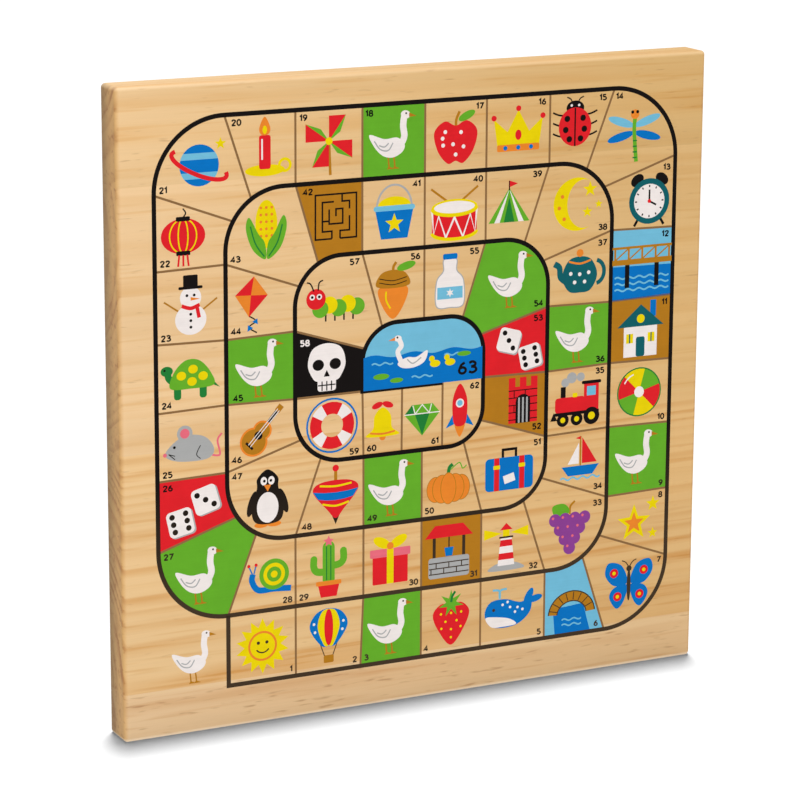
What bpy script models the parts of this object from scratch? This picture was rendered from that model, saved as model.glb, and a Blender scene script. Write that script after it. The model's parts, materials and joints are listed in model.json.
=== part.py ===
"""Goose and ludo game board: an edge-glued pine panel that stands on its bottom edge.

Four pine staves with their grain along X are butt-glued edge to edge, one above the other, and the
glued panel is rounded over on all of its outer edges and corners. Metres, +Z up. The goose side
faces -Y and the ludo side +Y. The origin is the middle of the bottom edge.
"""

import bmesh
import bpy
from mathutils import Matrix

# Driving dimensions: the panel is as high as its staves and glue lines together
BOARD_WIDTH = 0.300  # along the grain
BOARD_THICKNESS = 0.018
EDGE_RADIUS = 0.002  # round-over of the outer edges
GLUE_LINE = 0.0003  # between two staves
BOTTOM_STAVE_WIDTH = 0.0225  # across the grain, as the next three
LOWER_STAVE_WIDTH = 0.1117
UPPER_STAVE_WIDTH = 0.1207
TOP_STAVE_WIDTH = 0.0442

# The round-over never takes more than this share of the panel's thickness from one face
LARGEST_ROUND_SHARE = 0.45
ROUND_SEGMENTS = 6
SMOOTH_ANGLE = 0.6

# Varnished pine: one tone for each stave, because each comes from another plank
VARNISH_ROUGHNESS = 0.42
STAVES = (
    ("bottom_stave", BOTTOM_STAVE_WIDTH, (0.66, 0.44, 0.24)),
    ("lower_stave", LOWER_STAVE_WIDTH, (0.74, 0.52, 0.28)),
    ("upper_stave", UPPER_STAVE_WIDTH, (0.78, 0.55, 0.32)),
    ("top_stave", TOP_STAVE_WIDTH, (0.72, 0.48, 0.25)),
)


def clear_scene():
    """Removes every object that the file opened with."""
    for obj in list(bpy.data.objects):
        bpy.data.objects.remove(obj, do_unlink=True)


def varnished_pine(name, colour):
    """A Principled material for one stave's sanded and varnished pine."""
    material = bpy.data.materials.new(name)
    material.use_nodes = True
    shader = material.node_tree.nodes["Principled BSDF"]
    shader.inputs["Base Color"].default_value = (*colour, 1.0)
    shader.inputs["Roughness"].default_value = VARNISH_ROUGHNESS
    shader.inputs["Metallic"].default_value = 0.0
    material.diffuse_color = (*colour, 1.0)
    return material


def plank(width):
    """A sharp-edged plank of the board's length and thickness, standing on Z = 0."""
    mesh = bmesh.new()
    bmesh.ops.create_cube(mesh, size=1.0)
    size = Matrix.Diagonal((BOARD_WIDTH, BOARD_THICKNESS, width, 1.0))
    seat = Matrix.Translation((0.0, 0.0, width / 2))
    bmesh.ops.transform(mesh, matrix=seat @ size, verts=mesh.verts)
    return mesh


def lies_on(edge, level):
    """Whether both ends of an edge are at that height."""
    return all(abs(vert.co.z - level) < GLUE_LINE / 2 for vert in edge.verts)


def round_over(mesh, width, is_bottom, is_top):
    """Rounds the edges on the panel's outside, and leaves the edges of a glued face sharp.

    The four upright corners are rounded on every stave. The stave at the bottom or the top of the
    panel is rounded along that end too, and the three round-overs meet in a ball at each corner.
    """
    glued_levels = []
    if not is_bottom:
        glued_levels.append(0.0)
    if not is_top:
        glued_levels.append(width)
    outer = [e for e in mesh.edges if not any(lies_on(e, level) for level in glued_levels)]
    radius = min(EDGE_RADIUS, LARGEST_ROUND_SHARE * BOARD_THICKNESS)
    bmesh.ops.bevel(
        mesh,
        geom=outer,
        offset=radius,
        segments=ROUND_SEGMENTS,
        profile=0.5,
        affect="EDGES",
        clamp_overlap=False,
    )


def build_stave(name, width, colour, bottom, is_bottom, is_top):
    """Makes one stave with its lower face at that height in the panel."""
    mesh = plank(width)
    round_over(mesh, width, is_bottom, is_top)
    bmesh.ops.recalc_face_normals(mesh, faces=mesh.faces)
    data = bpy.data.meshes.new(name)
    mesh.to_mesh(data)
    mesh.free()
    data.shade_smooth()
    data.set_sharp_from_angle(angle=SMOOTH_ANGLE)
    data.materials.append(varnished_pine(name, colour))
    stave = bpy.data.objects.new(name, data)
    stave.location = (0.0, 0.0, bottom)
    bpy.context.scene.collection.objects.link(stave)
    return stave


def build_board():
    """Stacks the staves from the bottom edge up, one glue line apart, under one empty."""
    board = bpy.data.objects.new("board", None)
    bpy.context.scene.collection.objects.link(board)
    bottom = 0.0
    for index, (name, width, colour) in enumerate(STAVES):
        is_top = index == len(STAVES) - 1
        stave = build_stave(name, width, colour, bottom, index == 0, is_top)
        stave.parent = board
        bottom += width + GLUE_LINE


clear_scene()
build_board()
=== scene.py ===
"""Looks of a wooden game board: goose track on the front, ludo cross on the back.

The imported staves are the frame. Varnished pine staves replace them, the inks of both printed faces
lie on them as thin closed films, and a plain white studio lights the board from the front and above.
Sizes are in millimetres on a face and in metres in a mesh.
"""

import json
import logging
import math
from dataclasses import dataclass, field
from enum import Enum, IntEnum
from functools import partial
from typing import Callable

import bpy
import numpy as np
from mathutils import Matrix, Vector

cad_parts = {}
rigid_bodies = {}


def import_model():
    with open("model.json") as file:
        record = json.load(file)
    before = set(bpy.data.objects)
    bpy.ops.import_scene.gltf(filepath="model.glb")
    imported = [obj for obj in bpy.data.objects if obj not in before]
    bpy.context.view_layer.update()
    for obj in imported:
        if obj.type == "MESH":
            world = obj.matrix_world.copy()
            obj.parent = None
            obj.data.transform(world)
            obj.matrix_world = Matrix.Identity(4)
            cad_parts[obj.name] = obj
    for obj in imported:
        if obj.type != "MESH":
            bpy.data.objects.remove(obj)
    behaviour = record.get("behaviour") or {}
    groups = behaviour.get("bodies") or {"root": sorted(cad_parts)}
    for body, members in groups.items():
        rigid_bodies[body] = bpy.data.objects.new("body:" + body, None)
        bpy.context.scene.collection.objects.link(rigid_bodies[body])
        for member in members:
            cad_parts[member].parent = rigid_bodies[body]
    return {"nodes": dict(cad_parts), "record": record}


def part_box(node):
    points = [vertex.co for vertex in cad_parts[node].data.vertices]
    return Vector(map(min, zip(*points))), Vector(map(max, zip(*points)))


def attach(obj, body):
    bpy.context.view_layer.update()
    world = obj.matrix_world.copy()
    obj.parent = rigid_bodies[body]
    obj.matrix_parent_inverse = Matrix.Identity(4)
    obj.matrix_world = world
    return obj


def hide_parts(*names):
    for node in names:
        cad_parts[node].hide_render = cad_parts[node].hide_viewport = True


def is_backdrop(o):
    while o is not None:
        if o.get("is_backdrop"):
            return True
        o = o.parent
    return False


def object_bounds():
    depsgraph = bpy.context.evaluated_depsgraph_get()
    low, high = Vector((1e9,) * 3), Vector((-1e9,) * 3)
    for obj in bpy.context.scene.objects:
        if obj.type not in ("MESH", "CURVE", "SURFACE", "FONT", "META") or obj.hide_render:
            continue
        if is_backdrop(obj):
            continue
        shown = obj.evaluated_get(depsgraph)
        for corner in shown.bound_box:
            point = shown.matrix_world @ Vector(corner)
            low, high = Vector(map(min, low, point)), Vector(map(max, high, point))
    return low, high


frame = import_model()
CAD_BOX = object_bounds()

LOG = logging.getLogger("game_board")
MM = 0.001
BODY = "root"
EDGE_RADIUS = 2.0
PRINT_SHIFT = (1.0, 2.5)  # the goose print sits a little right of and above the middle
PRINT_STRETCH = 1.008  # and it is a little wider than high

Curve = np.ndarray
Tree = bpy.types.NodeTree
Node = bpy.types.Node
Socket = bpy.types.NodeSocket
Piece = bpy.types.Object


def linear(hex_code: str) -> tuple[float, float, float, float]:
    """Turns an sRGB hex colour into the linear colour that a shader takes.

    Args:
        hex_code: six hex digits, two each for red, green and blue.

    Returns:
        Linear red, green and blue, and an alpha of one.
    """
    srgb = np.array([int(hex_code[i : i + 2], 16) for i in (0, 2, 4)]) / 255
    value = np.where(srgb <= 0.04045, srgb / 12.92, ((srgb + 0.055) / 1.055) ** 2.4)
    return (*value.tolist(), 1.0)


def feed(tree: Tree, node: Node, inputs: dict[str | int, object]) -> Node:
    """Fills the inputs of a node.

    Args:
        tree: the node tree.
        node: the node to fill.
        inputs: for each input, by name or place, a plain value, an output, or a node whose first
            output it takes.

    Returns:
        The same node.
    """
    for name, value in inputs.items():
        if isinstance(value, Node):
            value = value.outputs[0]
        if isinstance(value, Socket):
            tree.links.new(value, node.inputs[name])
        else:
            node.inputs[name].default_value = value
    return node


def add_node(
    tree: Tree, kind: str, inputs: dict[str | int, object] | None = None, **settings: object
) -> Node:
    """Adds one node to a tree, sets its options, and fills its inputs.

    Args:
        tree: the node tree.
        kind: Blender's name of the node.
        inputs: what its inputs take, as in feed.
        settings: options of the node, by name.

    Returns:
        The new node.
    """
    node = tree.nodes.new(kind)
    for name, value in settings.items():
        setattr(node, name, value)
    return feed(tree, node, inputs or {})


def new_material(name: str) -> tuple[bpy.types.Material, Tree, Node]:
    """Makes a material and returns it with its tree and its Principled shader."""
    material = bpy.data.materials.new(name)
    material.use_nodes = True
    tree = material.node_tree
    return material, tree, tree.nodes["Principled BSDF"]


@dataclass(frozen=True)
class Grain:
    """Soft noise whose features have one size along the grain and another across it, in mm.

    Taken as a share, it rises from the least to the most while the noise goes from low to high.
    """

    along: float
    across: float
    detail: float
    roughness: float = 0.5
    low: float = 0.0
    high: float = 1.0
    least: float = 0.0
    most: float = 1.0

    def noise(self, tree: Tree, place: Socket, seed: float = 0.0) -> Node:
        """Adds the noise, moved by a seed so that no two staves look alike."""
        scale = tuple(1 / (size * MM) for size in (self.along, self.across, self.across))
        shift = (seed, seed * 0.37, seed * 0.71)
        spot = add_node(tree, "ShaderNodeMapping", {"Vector": place, "Location": shift, "Scale": scale})
        look = {"Vector": spot, "Scale": 1.0, "Detail": self.detail, "Roughness": self.roughness}
        return add_node(tree, "ShaderNodeTexNoise", look)

    def share(self, tree: Tree, place: Socket, seed: float, lower: float = 0.0) -> Node:
        """Adds the noise as a share, with both of its levels lower by so much."""
        limits = {"From Min": self.low - lower, "From Max": self.high - lower}
        limits |= {"Value": self.noise(tree, place, seed), "To Min": self.least, "To Max": self.most}
        return add_node(tree, "ShaderNodeMapRange", limits, interpolation_type="SMOOTHSTEP")


@dataclass(frozen=True)
class PineFinish:
    """Edge-glued pine, smoothed by sanding and varnished: pale earlywood between orange latewood rings.

    The rings are cylinders round a pith that lies behind the face, so that the same pattern gives
    long lines on the faces and arcs on the end grain. Sizes and places are in mm.
    """

    name: str
    early: str
    late: str
    pith_behind: float
    pith_height: float
    ring: float
    contrast: float
    tilt: float
    seed: float
    more_flecks: float = 0.027  # by how much the level of a fleck is lower
    honey: str = "EDE6CE"
    honey_from: float = -150.0
    honey_to: float = 110.0
    # painted highlight: the round-overs are mixed towards the pale colour below, by this share at their
    # middle
    sanded: float = 0.22
    pale: str = "F6E2C4"
    fleck_brown: str = "A06C3D"
    end_grain: str = "C4975A"
    end_share: float = 0.8
    end_contrast: float = 1.5
    end_back: tuple[float, float] = (9.0, 0.34)  # place and painted brightness of the end grain: painted shade at the back, painted light at the front
    end_front: tuple[float, float] = (-3.6, 1.33)
    ring_drift: float = 2.2
    drift_years: float = 4.0
    late_from: float = 0.25
    late_peak: float = 0.82
    weakest_year: float = 0.35
    swing: float = 0.6  # the pith's turn about the height, as a share of its tilt
    wave: Grain = Grain(195.0, 36.0, 1.5, 0.45)
    wave_depth: float = 3.0
    fibre: Grain = Grain(34.0, 0.7, 3.0, 0.6)
    fibre_depth: float = 0.1
    tone: Grain = Grain(420.0, 45.0, 2.0)
    tone_depth: float = 0.26
    darkest: float = 0.84
    fading: Grain = Grain(150.0, 16.0, 1.5, low=0.35, high=0.65, least=0.35)
    wisps: Grain = Grain(55.0, 2.2, 1.5, low=0.54, high=0.74, most=0.4)
    figure: Grain = Grain(120.0, 8.0, 1.5, low=0.5, high=0.78, most=0.35)
    fleck: Grain = Grain(10.0, 1.4, 1.0, low=0.7, high=0.92, most=0.5)
    rough: tuple[float, float] = (0.46, 0.6)
    relief: float = 0.12
    relief_height: float = 0.1
    gloss: float = 0.15

    def material(self) -> bpy.types.Material:
        """Makes the stave's material from its rings, fibres and flecks, with painted shade and light on the
        end grain and a painted highlight on the round-overs.
        """
        material, tree, shader = new_material(self.name)
        place = add_node(tree, "ShaderNodeTexCoord").outputs["Object"]
        fibre = self.fibre.noise(tree, place, self.seed)
        late = self._latewood(tree, place)
        wood = self._long_grain(tree, place, late, fibre)
        # the end grain with its painted shade and light, then the painted highlight on the round-overs
        layers = (
            ("end_grain", self.end_share, self._end_grain(tree, place, late)),
            ("round_over", self.sanded, linear(self.pale)),
        )
        for name, most, colour in layers:
            there = add_node(tree, "ShaderNodeAttribute", attribute_name=name).outputs["Fac"]
            share = add_node(tree, "ShaderNodeMath", {0: there, 1: most}, operation="MULTIPLY")
            mix = {0: share, 6: wood, 7: colour}
            wood = add_node(tree, "ShaderNodeMix", mix, data_type="RGBA").outputs[2]
        smooth, coarse = self.rough
        rough = add_node(tree, "ShaderNodeMapRange", {"Value": fibre, "To Min": smooth, "To Max": coarse})
        relief = {"Strength": self.relief, "Distance": self.relief_height * MM, "Height": fibre}
        bump = add_node(tree, "ShaderNodeBump", relief)
        feed(tree, shader, {"Base Color": wood, "Roughness": rough, "Normal": bump})
        shader.inputs["Specular IOR Level"].default_value = self.gloss
        return material

    def _long_grain(self, tree: Tree, place: Socket, late: Node, fibre: Node) -> Socket:
        """Colours the wood along the grain: rings in soft shades, honey to the right, and flecks.

        Args:
            tree: the material's tree.
            place: object coordinates.
            late: share of latewood.
            fibre: fine noise along the grain.

        Returns:
            The colour.
        """
        rings = {0: late, 6: linear(self.early), 7: linear(self.late)}
        wood = add_node(tree, "ShaderNodeMix", rings, data_type="RGBA").outputs[2]
        shade = self.darkest
        tone = self.tone.noise(tree, place, self.seed)
        for noise, depth in ((fibre, self.fibre_depth), (tone, self.tone_depth)):
            shade = add_node(
                tree, "ShaderNodeMath", {0: noise, 1: depth, 2: shade}, operation="MULTIPLY_ADD"
            )
        wood = add_node(tree, "ShaderNodeVectorMath", {0: wood, "Scale": shade}, operation="SCALE")
        along = add_node(tree, "ShaderNodeSeparateXYZ", {0: place}).outputs[0]
        ends = {"From Min": self.honey_from * MM, "From Max": self.honey_to * MM}
        drift = add_node(tree, "ShaderNodeMapRange", {"Value": along, **ends})
        tints = {0: drift, 6: linear("FFFFFF"), 7: linear(self.honey)}
        honey = add_node(tree, "ShaderNodeMix", tints, data_type="RGBA").outputs[2]
        wood = add_node(tree, "ShaderNodeVectorMath", {0: wood, 1: honey}, operation="MULTIPLY")
        fleck = self.fleck.share(tree, place, self.seed, self.more_flecks)
        brown = {0: fleck, 6: wood, 7: linear(self.fleck_brown)}
        return add_node(tree, "ShaderNodeMix", brown, data_type="RGBA").outputs[2]

    def _end_grain(self, tree: Tree, place: Socket, late: Node) -> Node:
        """Colours the cut ends: stronger rings on a darker wood, with painted shade towards the back and
        painted light towards the front.
        """
        rings = add_node(tree, "ShaderNodeMath", {0: late, 1: self.end_contrast}, operation="MULTIPLY")
        cut = {0: rings, 6: linear(self.end_grain), 7: linear(self.fleck_brown)}
        end = add_node(tree, "ShaderNodeMix", cut, data_type="RGBA").outputs[2]
        depth = add_node(tree, "ShaderNodeSeparateXYZ", {0: place}).outputs[1]
        # painted shade: the end grain is darkened towards the back and lightened towards the front
        (back, dim), (front, bright) = self.end_back, self.end_front
        limits = {"From Min": back * MM, "From Max": front * MM, "To Min": dim, "To Max": bright}
        painted_end_shade = add_node(tree, "ShaderNodeMapRange", {"Value": depth, **limits})
        return add_node(tree, "ShaderNodeVectorMath", {0: end, "Scale": painted_end_shade}, operation="SCALE")

    def _radius(self, tree: Tree, place: Socket) -> Socket:
        """Gives the distance from the pith in mm, with a slow wave along the grain."""
        tilt = math.radians(self.tilt)
        seat = {
            "Vector": place,
            "Location": (0.0, self.pith_behind * MM, self.pith_height * MM),
            "Rotation": (0.0, tilt, tilt * self.swing),
            "Scale": (MM, MM, MM),
        }
        core = add_node(tree, "ShaderNodeMapping", seat, vector_type="TEXTURE")
        wave = self.wave.noise(tree, place, self.seed).outputs["Color"]
        depth = (0.0, self.wave_depth, self.wave_depth)
        bend = add_node(
            tree, "ShaderNodeVectorMath", {0: wave, 1: depth, 2: core}, operation="MULTIPLY_ADD"
        )
        flat = add_node(tree, "ShaderNodeVectorMath", {0: bend, 1: (0.0, 1.0, 1.0)}, operation="MULTIPLY")
        return add_node(tree, "ShaderNodeVectorMath", {0: flat}, operation="LENGTH").outputs["Value"]

    def _latewood(self, tree: Tree, place: Socket) -> Node:
        """Gives the share of latewood: it darkens slowly through a year and ends sharply.

        Args:
            tree: the material's tree.
            place: object coordinates.

        Returns:
            The share, from 0 to 1, with short wisps and a soft figure between the rings.
        """
        radius = self._radius(tree, place)
        slow = {"W": radius, "Scale": 1 / (self.drift_years * self.ring), "Detail": 0.0}
        drift = add_node(tree, "ShaderNodeTexNoise", slow, noise_dimensions="1D")
        spread = {0: drift, 1: self.ring_drift * self.ring, 2: radius}
        uneven = add_node(tree, "ShaderNodeMath", spread, operation="MULTIPLY_ADD")
        year = add_node(tree, "ShaderNodeMath", {0: uneven, 1: self.ring}, operation="DIVIDE")
        part = add_node(tree, "ShaderNodeMath", {0: year}, operation="FRACT")
        count = add_node(tree, "ShaderNodeMath", {0: year}, operation="FLOOR")
        luck = add_node(tree, "ShaderNodeTexWhiteNoise", {"W": count}, noise_dimensions="1D")
        weak = {"Value": luck, "To Min": self.weakest_year * self.contrast, "To Max": self.contrast}
        line = add_node(tree, "ShaderNodeMapRange", weak)
        factors = [self.fading.share(tree, place, self.seed)]
        for start, stop, low in ((self.late_from, self.late_peak, 0.0), (self.late_peak, 1.0, 1.0)):
            slope = {"From Min": start, "From Max": stop, "To Min": low, "To Max": 1.0 - low, "Value": part}
            factors.append(add_node(tree, "ShaderNodeMapRange", slope, interpolation_type="SMOOTHSTEP"))
        for factor in factors:
            line = add_node(tree, "ShaderNodeMath", {0: line, 1: factor}, operation="MULTIPLY")
        for pattern in (self.wisps, self.figure):
            more = pattern.share(tree, place, self.seed)
            line = add_node(tree, "ShaderNodeMath", {0: line, 1: more}, use_clamp=True)
        return line


def put_mesh(name: str, points: np.ndarray, triangles: np.ndarray) -> Piece:
    """Makes a mesh object at the origin from whole arrays.

    Args:
        name: name of the piece.
        points: corners in metres, one row each.
        triangles: three corner numbers a row, counter-clockwise from outside.

    Returns:
        The object, linked to the scene.
    """
    mesh = bpy.data.meshes.new(name)
    mesh.vertices.add(len(points))
    mesh.vertices.foreach_set("co", points.astype(np.float32).ravel())
    mesh.loops.add(triangles.size)
    mesh.loops.foreach_set("vertex_index", triangles.astype(np.int32).ravel())
    mesh.polygons.add(len(triangles))
    mesh.polygons.foreach_set("loop_start", np.arange(0, triangles.size, 3, dtype=np.int32))
    mesh.update(calc_edges=True)
    mesh.validate()
    piece = bpy.data.objects.new(name, mesh)
    bpy.context.scene.collection.objects.link(piece)
    return piece


def grid_triangles(rows: int, columns: int, wrap: bool) -> np.ndarray:
    """Numbers the triangles of a grid of points, two for each square.

    Args:
        rows: points in the first parameter.
        columns: points in the second parameter.
        wrap: whether the last column joins the first.

    Returns:
        Three point numbers a row.
    """
    across = np.arange(columns if wrap else columns - 1)
    row, column = np.meshgrid(np.arange(rows - 1), across, indexing="ij")
    beside = (column + 1) % columns
    a, b = row * columns + column, row * columns + beside
    c, d = a + columns, (row + 1) * columns + beside
    both_halves = np.stack([np.stack([a, c, d], -1), np.stack([a, d, b], -1)], -2)
    return both_halves.reshape(-1, 3)


def weld(points: np.ndarray, triangles: np.ndarray) -> tuple[np.ndarray, np.ndarray]:
    """Joins points that share a place, and drops the triangles that this closes up.

    Args:
        points: one point a row.
        triangles: three point numbers a row.

    Returns:
        The points that are left, and the triangles renumbered to them.
    """
    _, first, order = np.unique(np.round(points, 4), axis=0, return_index=True, return_inverse=True)
    joined = order.reshape(-1)[triangles]
    open_ones = (joined != np.roll(joined, 1, 1)).all(1)
    return points[first], joined[open_ones]


def corner_turns(steps: int) -> tuple[np.ndarray, np.ndarray]:
    """Gives the signs of a rectangle's corners, and the normals that turn a quarter at each of them."""
    quarter = np.repeat(np.arange(4), steps)
    angle = np.pi / 2 * (quarter + np.tile(np.linspace(0, 1, steps), 4))
    corner = np.array([[1, 1], [-1, 1], [-1, -1], [1, -1]])[quarter]
    return corner, np.stack([np.cos(angle), np.sin(angle)], -1)


@dataclass
class PineStave:
    """One stave of the panel: a rounded rectangle carried up the stave, drawn in at a free end."""

    node: str
    slot: str
    finish: PineFinish
    low: float
    high: float
    is_bottom: bool
    is_top: bool
    half_width: float
    half_thickness: float
    arc_steps: int = 10

    def build(self) -> Piece:
        """Builds the stave's closed surface with true normals, and dresses it.

        A point is p(t, a) = c(t) + R cos(a) n(t), where c runs round the core rectangle, n is its
        outward normal, R the round-over and a the angle up the round-over. The height is level
        between the ends, and R sin(a) past the core at a free end.

        Returns:
            The stave's piece.
        """
        corner, normal = corner_turns(self.arc_steps + 1)
        core = corner * (np.array([self.half_width, self.half_thickness]) - EDGE_RADIUS)
        lift, height = self._levels()
        lean = np.cos(lift)[:, None, None] * normal
        ring = core + EDGE_RADIUS * lean
        level, slope = (
            np.broadcast_to(value[:, None, None], (*lean.shape[:2], 1)) for value in (height, np.sin(lift))
        )
        side = np.concatenate([ring, level, lean, slope], -1).reshape(-1, 6)
        poles = np.array([[0, 0, height[0], 0, 0, -1], [0, 0, height[-1], 0, 0, 1]])
        around = np.arange(len(normal))
        after = np.roll(around, -1)
        last = len(side) - len(normal)
        floor = np.stack([after, around, np.full_like(around, len(side))], -1)
        roof = np.stack([around + last, after + last, np.full_like(around, len(side) + 1)], -1)
        walls = grid_triangles(len(lift), len(normal), True)[:, ::-1]
        points, triangles = weld(np.concatenate([side, poles]), np.concatenate([walls, floor, roof]))
        piece = put_mesh(f"pine_{self.node}", points[:, :3] * MM, triangles)
        self._dress(piece, points[:, 3:])
        return piece

    def _levels(self) -> tuple[np.ndarray, np.ndarray]:
        """Gives the angle up the round-over and the height of each row, from the bottom up."""
        quarter = np.linspace(0, np.pi / 2, self.arc_steps + 1)
        flat = np.zeros(1)
        down = -quarter[::-1] if self.is_bottom else flat
        up = quarter if self.is_top else flat
        low = self.low + (EDGE_RADIUS * (1 + np.sin(down)) if self.is_bottom else flat)
        high = self.high - (EDGE_RADIUS * (1 - np.sin(up)) if self.is_top else flat)
        return np.concatenate([down, up]), np.concatenate([low, high])

    def _dress(self, piece: Piece, normals: np.ndarray) -> None:
        """Sets the smooth normals, the shares of end grain and round-over and the pine, and seats it."""
        mesh = piece.data
        mesh.shade_smooth()
        mesh.normals_split_custom_set_from_vertices(normals.astype(np.float32))
        level, up = np.linalg.norm(normals[:, :2], axis=1), np.abs(normals[:, 2])
        for name, value in (("end_grain", np.abs(normals[:, 0])), ("round_over", 2 * level * up)):
            share = mesh.attributes.new(name, "FLOAT", "POINT")
            share.data.foreach_set("value", value.clip(0, 1).astype(np.float32))
        mesh.materials.append(self.finish.material())
        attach(piece, BODY)
        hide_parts(self.node)


@dataclass
class PinePanel:
    """The four glued staves, from the bottom edge up."""

    finishes: dict[str, PineFinish]

    def build(self) -> list[Piece]:
        """Builds each stave from its CAD box, out to the middle of its glue lines."""
        slots = {row["node"]: row["material_slot"] for row in frame["record"]["subparts"]}
        nodes = sorted(frame["nodes"], key=lambda node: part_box(node)[0].z)
        boxes = [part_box(node) for node in nodes]
        lows = np.array([low.z for low, _ in boxes]) / MM
        highs = np.array([high.z for _, high in boxes]) / MM
        glue = (highs[:-1] + lows[1:]) / 2
        lows[1:], highs[:-1] = glue, glue
        half = (CAD_BOX[1] - CAD_BOX[0]) / MM / 2
        pieces = []
        for node, low, high in zip(nodes, lows, highs):
            ends = (node == nodes[0], node == nodes[-1])
            stave = PineStave(node, slots[node], self.finishes[node], low, high, *ends, half.x, half.y)
            pieces.append(stave.build())
            LOG.info("stave %s from %.1f to %.1f mm", node, low, high)
        return pieces


class Ink(Enum):
    """Printing inks of both faces, each by its sRGB colour."""

    BLACK = "0F0A09"
    WHITE = "EFE6E2"
    RED = "DD1F27"
    GREEN = "63AA28"
    BLUE = "0070BE"
    SKY = "71B9D5"
    BROWN = "B2771A"
    YELLOW = "E9D100"
    ORANGE = "E8842A"
    GREY = "A9A9A8"
    TEAL = "0D5C63"
    FOREST = "1F7A34"
    PINK = "E56A7B"
    PURPLE = "8A3F8F"
    UMBER = "8A6741"


K, W, R, G, B, S, N, Y, O, A, T, D, P, V, U = Ink


@dataclass(frozen=True)
class InkFinish:
    """Screen ink under the varnish: an even film that lets a little of the wood's fibre through."""

    ink: Ink
    fibre: Grain = Grain(30.0, 0.7, 2.0)
    fibre_share: float = 0.6
    mottle: Grain = Grain(6.0, 6.0, 2.0)
    levels: tuple[float, float] = (0.4, 1.2)
    shades: tuple[float, float] = (0.93, 1.06)
    rough: tuple[float, float] = (0.34, 0.5)
    gloss: float = 0.05
    worn_from: float = 118.0
    worn_to: float = 60.0
    worn_share: float = 0.065
    wood: str = "DDB282"

    def material(self) -> bpy.types.Material:
        """Makes the ink's material from fibre streaks and a soft mottle."""
        material, tree, shader = new_material(f"screen_ink_{self.ink.name.lower()}")
        place = add_node(tree, "ShaderNodeTexCoord").outputs["Object"]
        cloud = self.mottle.noise(tree, place)
        streaks = {0: self.fibre.noise(tree, place), 1: self.fibre_share, 2: cloud}
        both_noises = add_node(tree, "ShaderNodeMath", streaks, operation="MULTIPLY_ADD")
        (low, high), (dark, light), (smooth, coarse) = self.levels, self.shades, self.rough
        limits = {"From Min": low, "From Max": high, "To Min": dark, "To Max": light}
        shade = add_node(tree, "ShaderNodeMapRange", {"Value": both_noises, **limits})
        film = {0: linear(self.ink.value)[:3], "Scale": shade}
        colour = add_node(tree, "ShaderNodeVectorMath", film, operation="SCALE").outputs[0]
        if self.ink is Ink.BLACK:
            colour = self._worn(tree, place, colour)
        rough = add_node(tree, "ShaderNodeMapRange", {"Value": cloud, "To Min": smooth, "To Max": coarse})
        feed(tree, shader, {"Base Color": colour, "Roughness": rough})
        shader.inputs["Specular IOR Level"].default_value = self.gloss
        return material

    def _worn(self, tree: Tree, place: Socket, film: Socket) -> Socket:
        """Lets the wood warm the film near the bottom edge, where the ink was laid on thinner."""
        height = add_node(tree, "ShaderNodeSeparateXYZ", {0: place}).outputs[2]
        limits = {"From Min": self.worn_from * MM, "From Max": self.worn_to * MM, "To Max": self.worn_share}
        share = add_node(tree, "ShaderNodeMapRange", {"Value": height, **limits})
        mix = {0: share, 6: film, 7: linear(self.wood)}
        return add_node(tree, "ShaderNodeMix", mix, data_type="RGBA").outputs[2]


ARC_POINTS = 25
OVAL_POINTS = 32
WAVE_POINTS = 33
SMOOTH_POINTS = 8
ROUND_POINTS = 6


def poly(*flat: float | Curve) -> Curve:
    """Reads a curve's points from numbers in pairs, or takes points as they are."""
    return np.array(flat, float).reshape(-1, 2)


def turned(curve: Curve, degrees: float, x: float = 0.0, y: float = 0.0) -> Curve:
    """Turns a curve counter-clockwise about the origin, and then moves it."""
    turn = math.radians(degrees)
    spin = np.array([[math.cos(turn), math.sin(turn)], [-math.sin(turn), math.cos(turn)]])
    return curve @ spin + (x, y)


def mirrored(curve: Curve) -> Curve:
    """Mirrors a curve left to right."""
    return curve * (-1, 1)


def both(*curves: Curve) -> list[Curve]:
    """Gives each curve and its mirror image."""
    return [copy for curve in curves for copy in (curve, mirrored(curve))]


def even(*flat: float) -> Curve:
    """Completes the right half of an outline, from numbers in pairs, with its mirror image."""
    right = poly(*flat)
    left = mirrored(right[right[:, 0] != 0])
    return np.concatenate([right, left[::-1]])


def arc(x: float, y: float, rx: float, ry: float, start: float, stop: float) -> Curve:
    """Follows an oval from one angle to another, in degrees."""
    angle = np.radians(np.linspace(start, stop, ARC_POINTS))
    return np.stack([x + rx * np.cos(angle), y + ry * np.sin(angle)], -1)


def oval(x: float, y: float, rx: float, ry: float = 0.0, turn: float = 0.0) -> Curve:
    """Gives a closed oval, or a circle where only one radius is given."""
    angle = np.linspace(0, 2 * np.pi, OVAL_POINTS, endpoint=False)
    return turned(np.stack([rx * np.cos(angle), (ry or rx) * np.sin(angle)], -1), turn, x, y)


def box(x: float, y: float, width: float, height: float, radius: float = 0.0) -> Curve:
    """Gives a rectangle round a middle, each corner an arc of the radius about the core's corner."""
    corner, normal = corner_turns(ROUND_POINTS if radius else 1)
    return corner * (np.array([width, height]) / 2 - radius) + radius * normal + (x, y)


def star(x: float, y: float, tips: int, outer: float, inner: float) -> Curve:
    """Gives a star with one tip straight up."""
    angle = np.pi / 2 + np.pi / tips * np.arange(2 * tips)
    reach = np.tile([outer, inner], tips)
    return np.stack([x + reach * np.cos(angle), y + reach * np.sin(angle)], -1)


def wedge(x: float, y: float, radius: float, start: float, stop: float) -> Curve:
    """Gives a slice of a disc between two angles, in degrees."""
    return np.concatenate([[[x, y]], arc(x, y, radius, radius, start, stop)])


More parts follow.
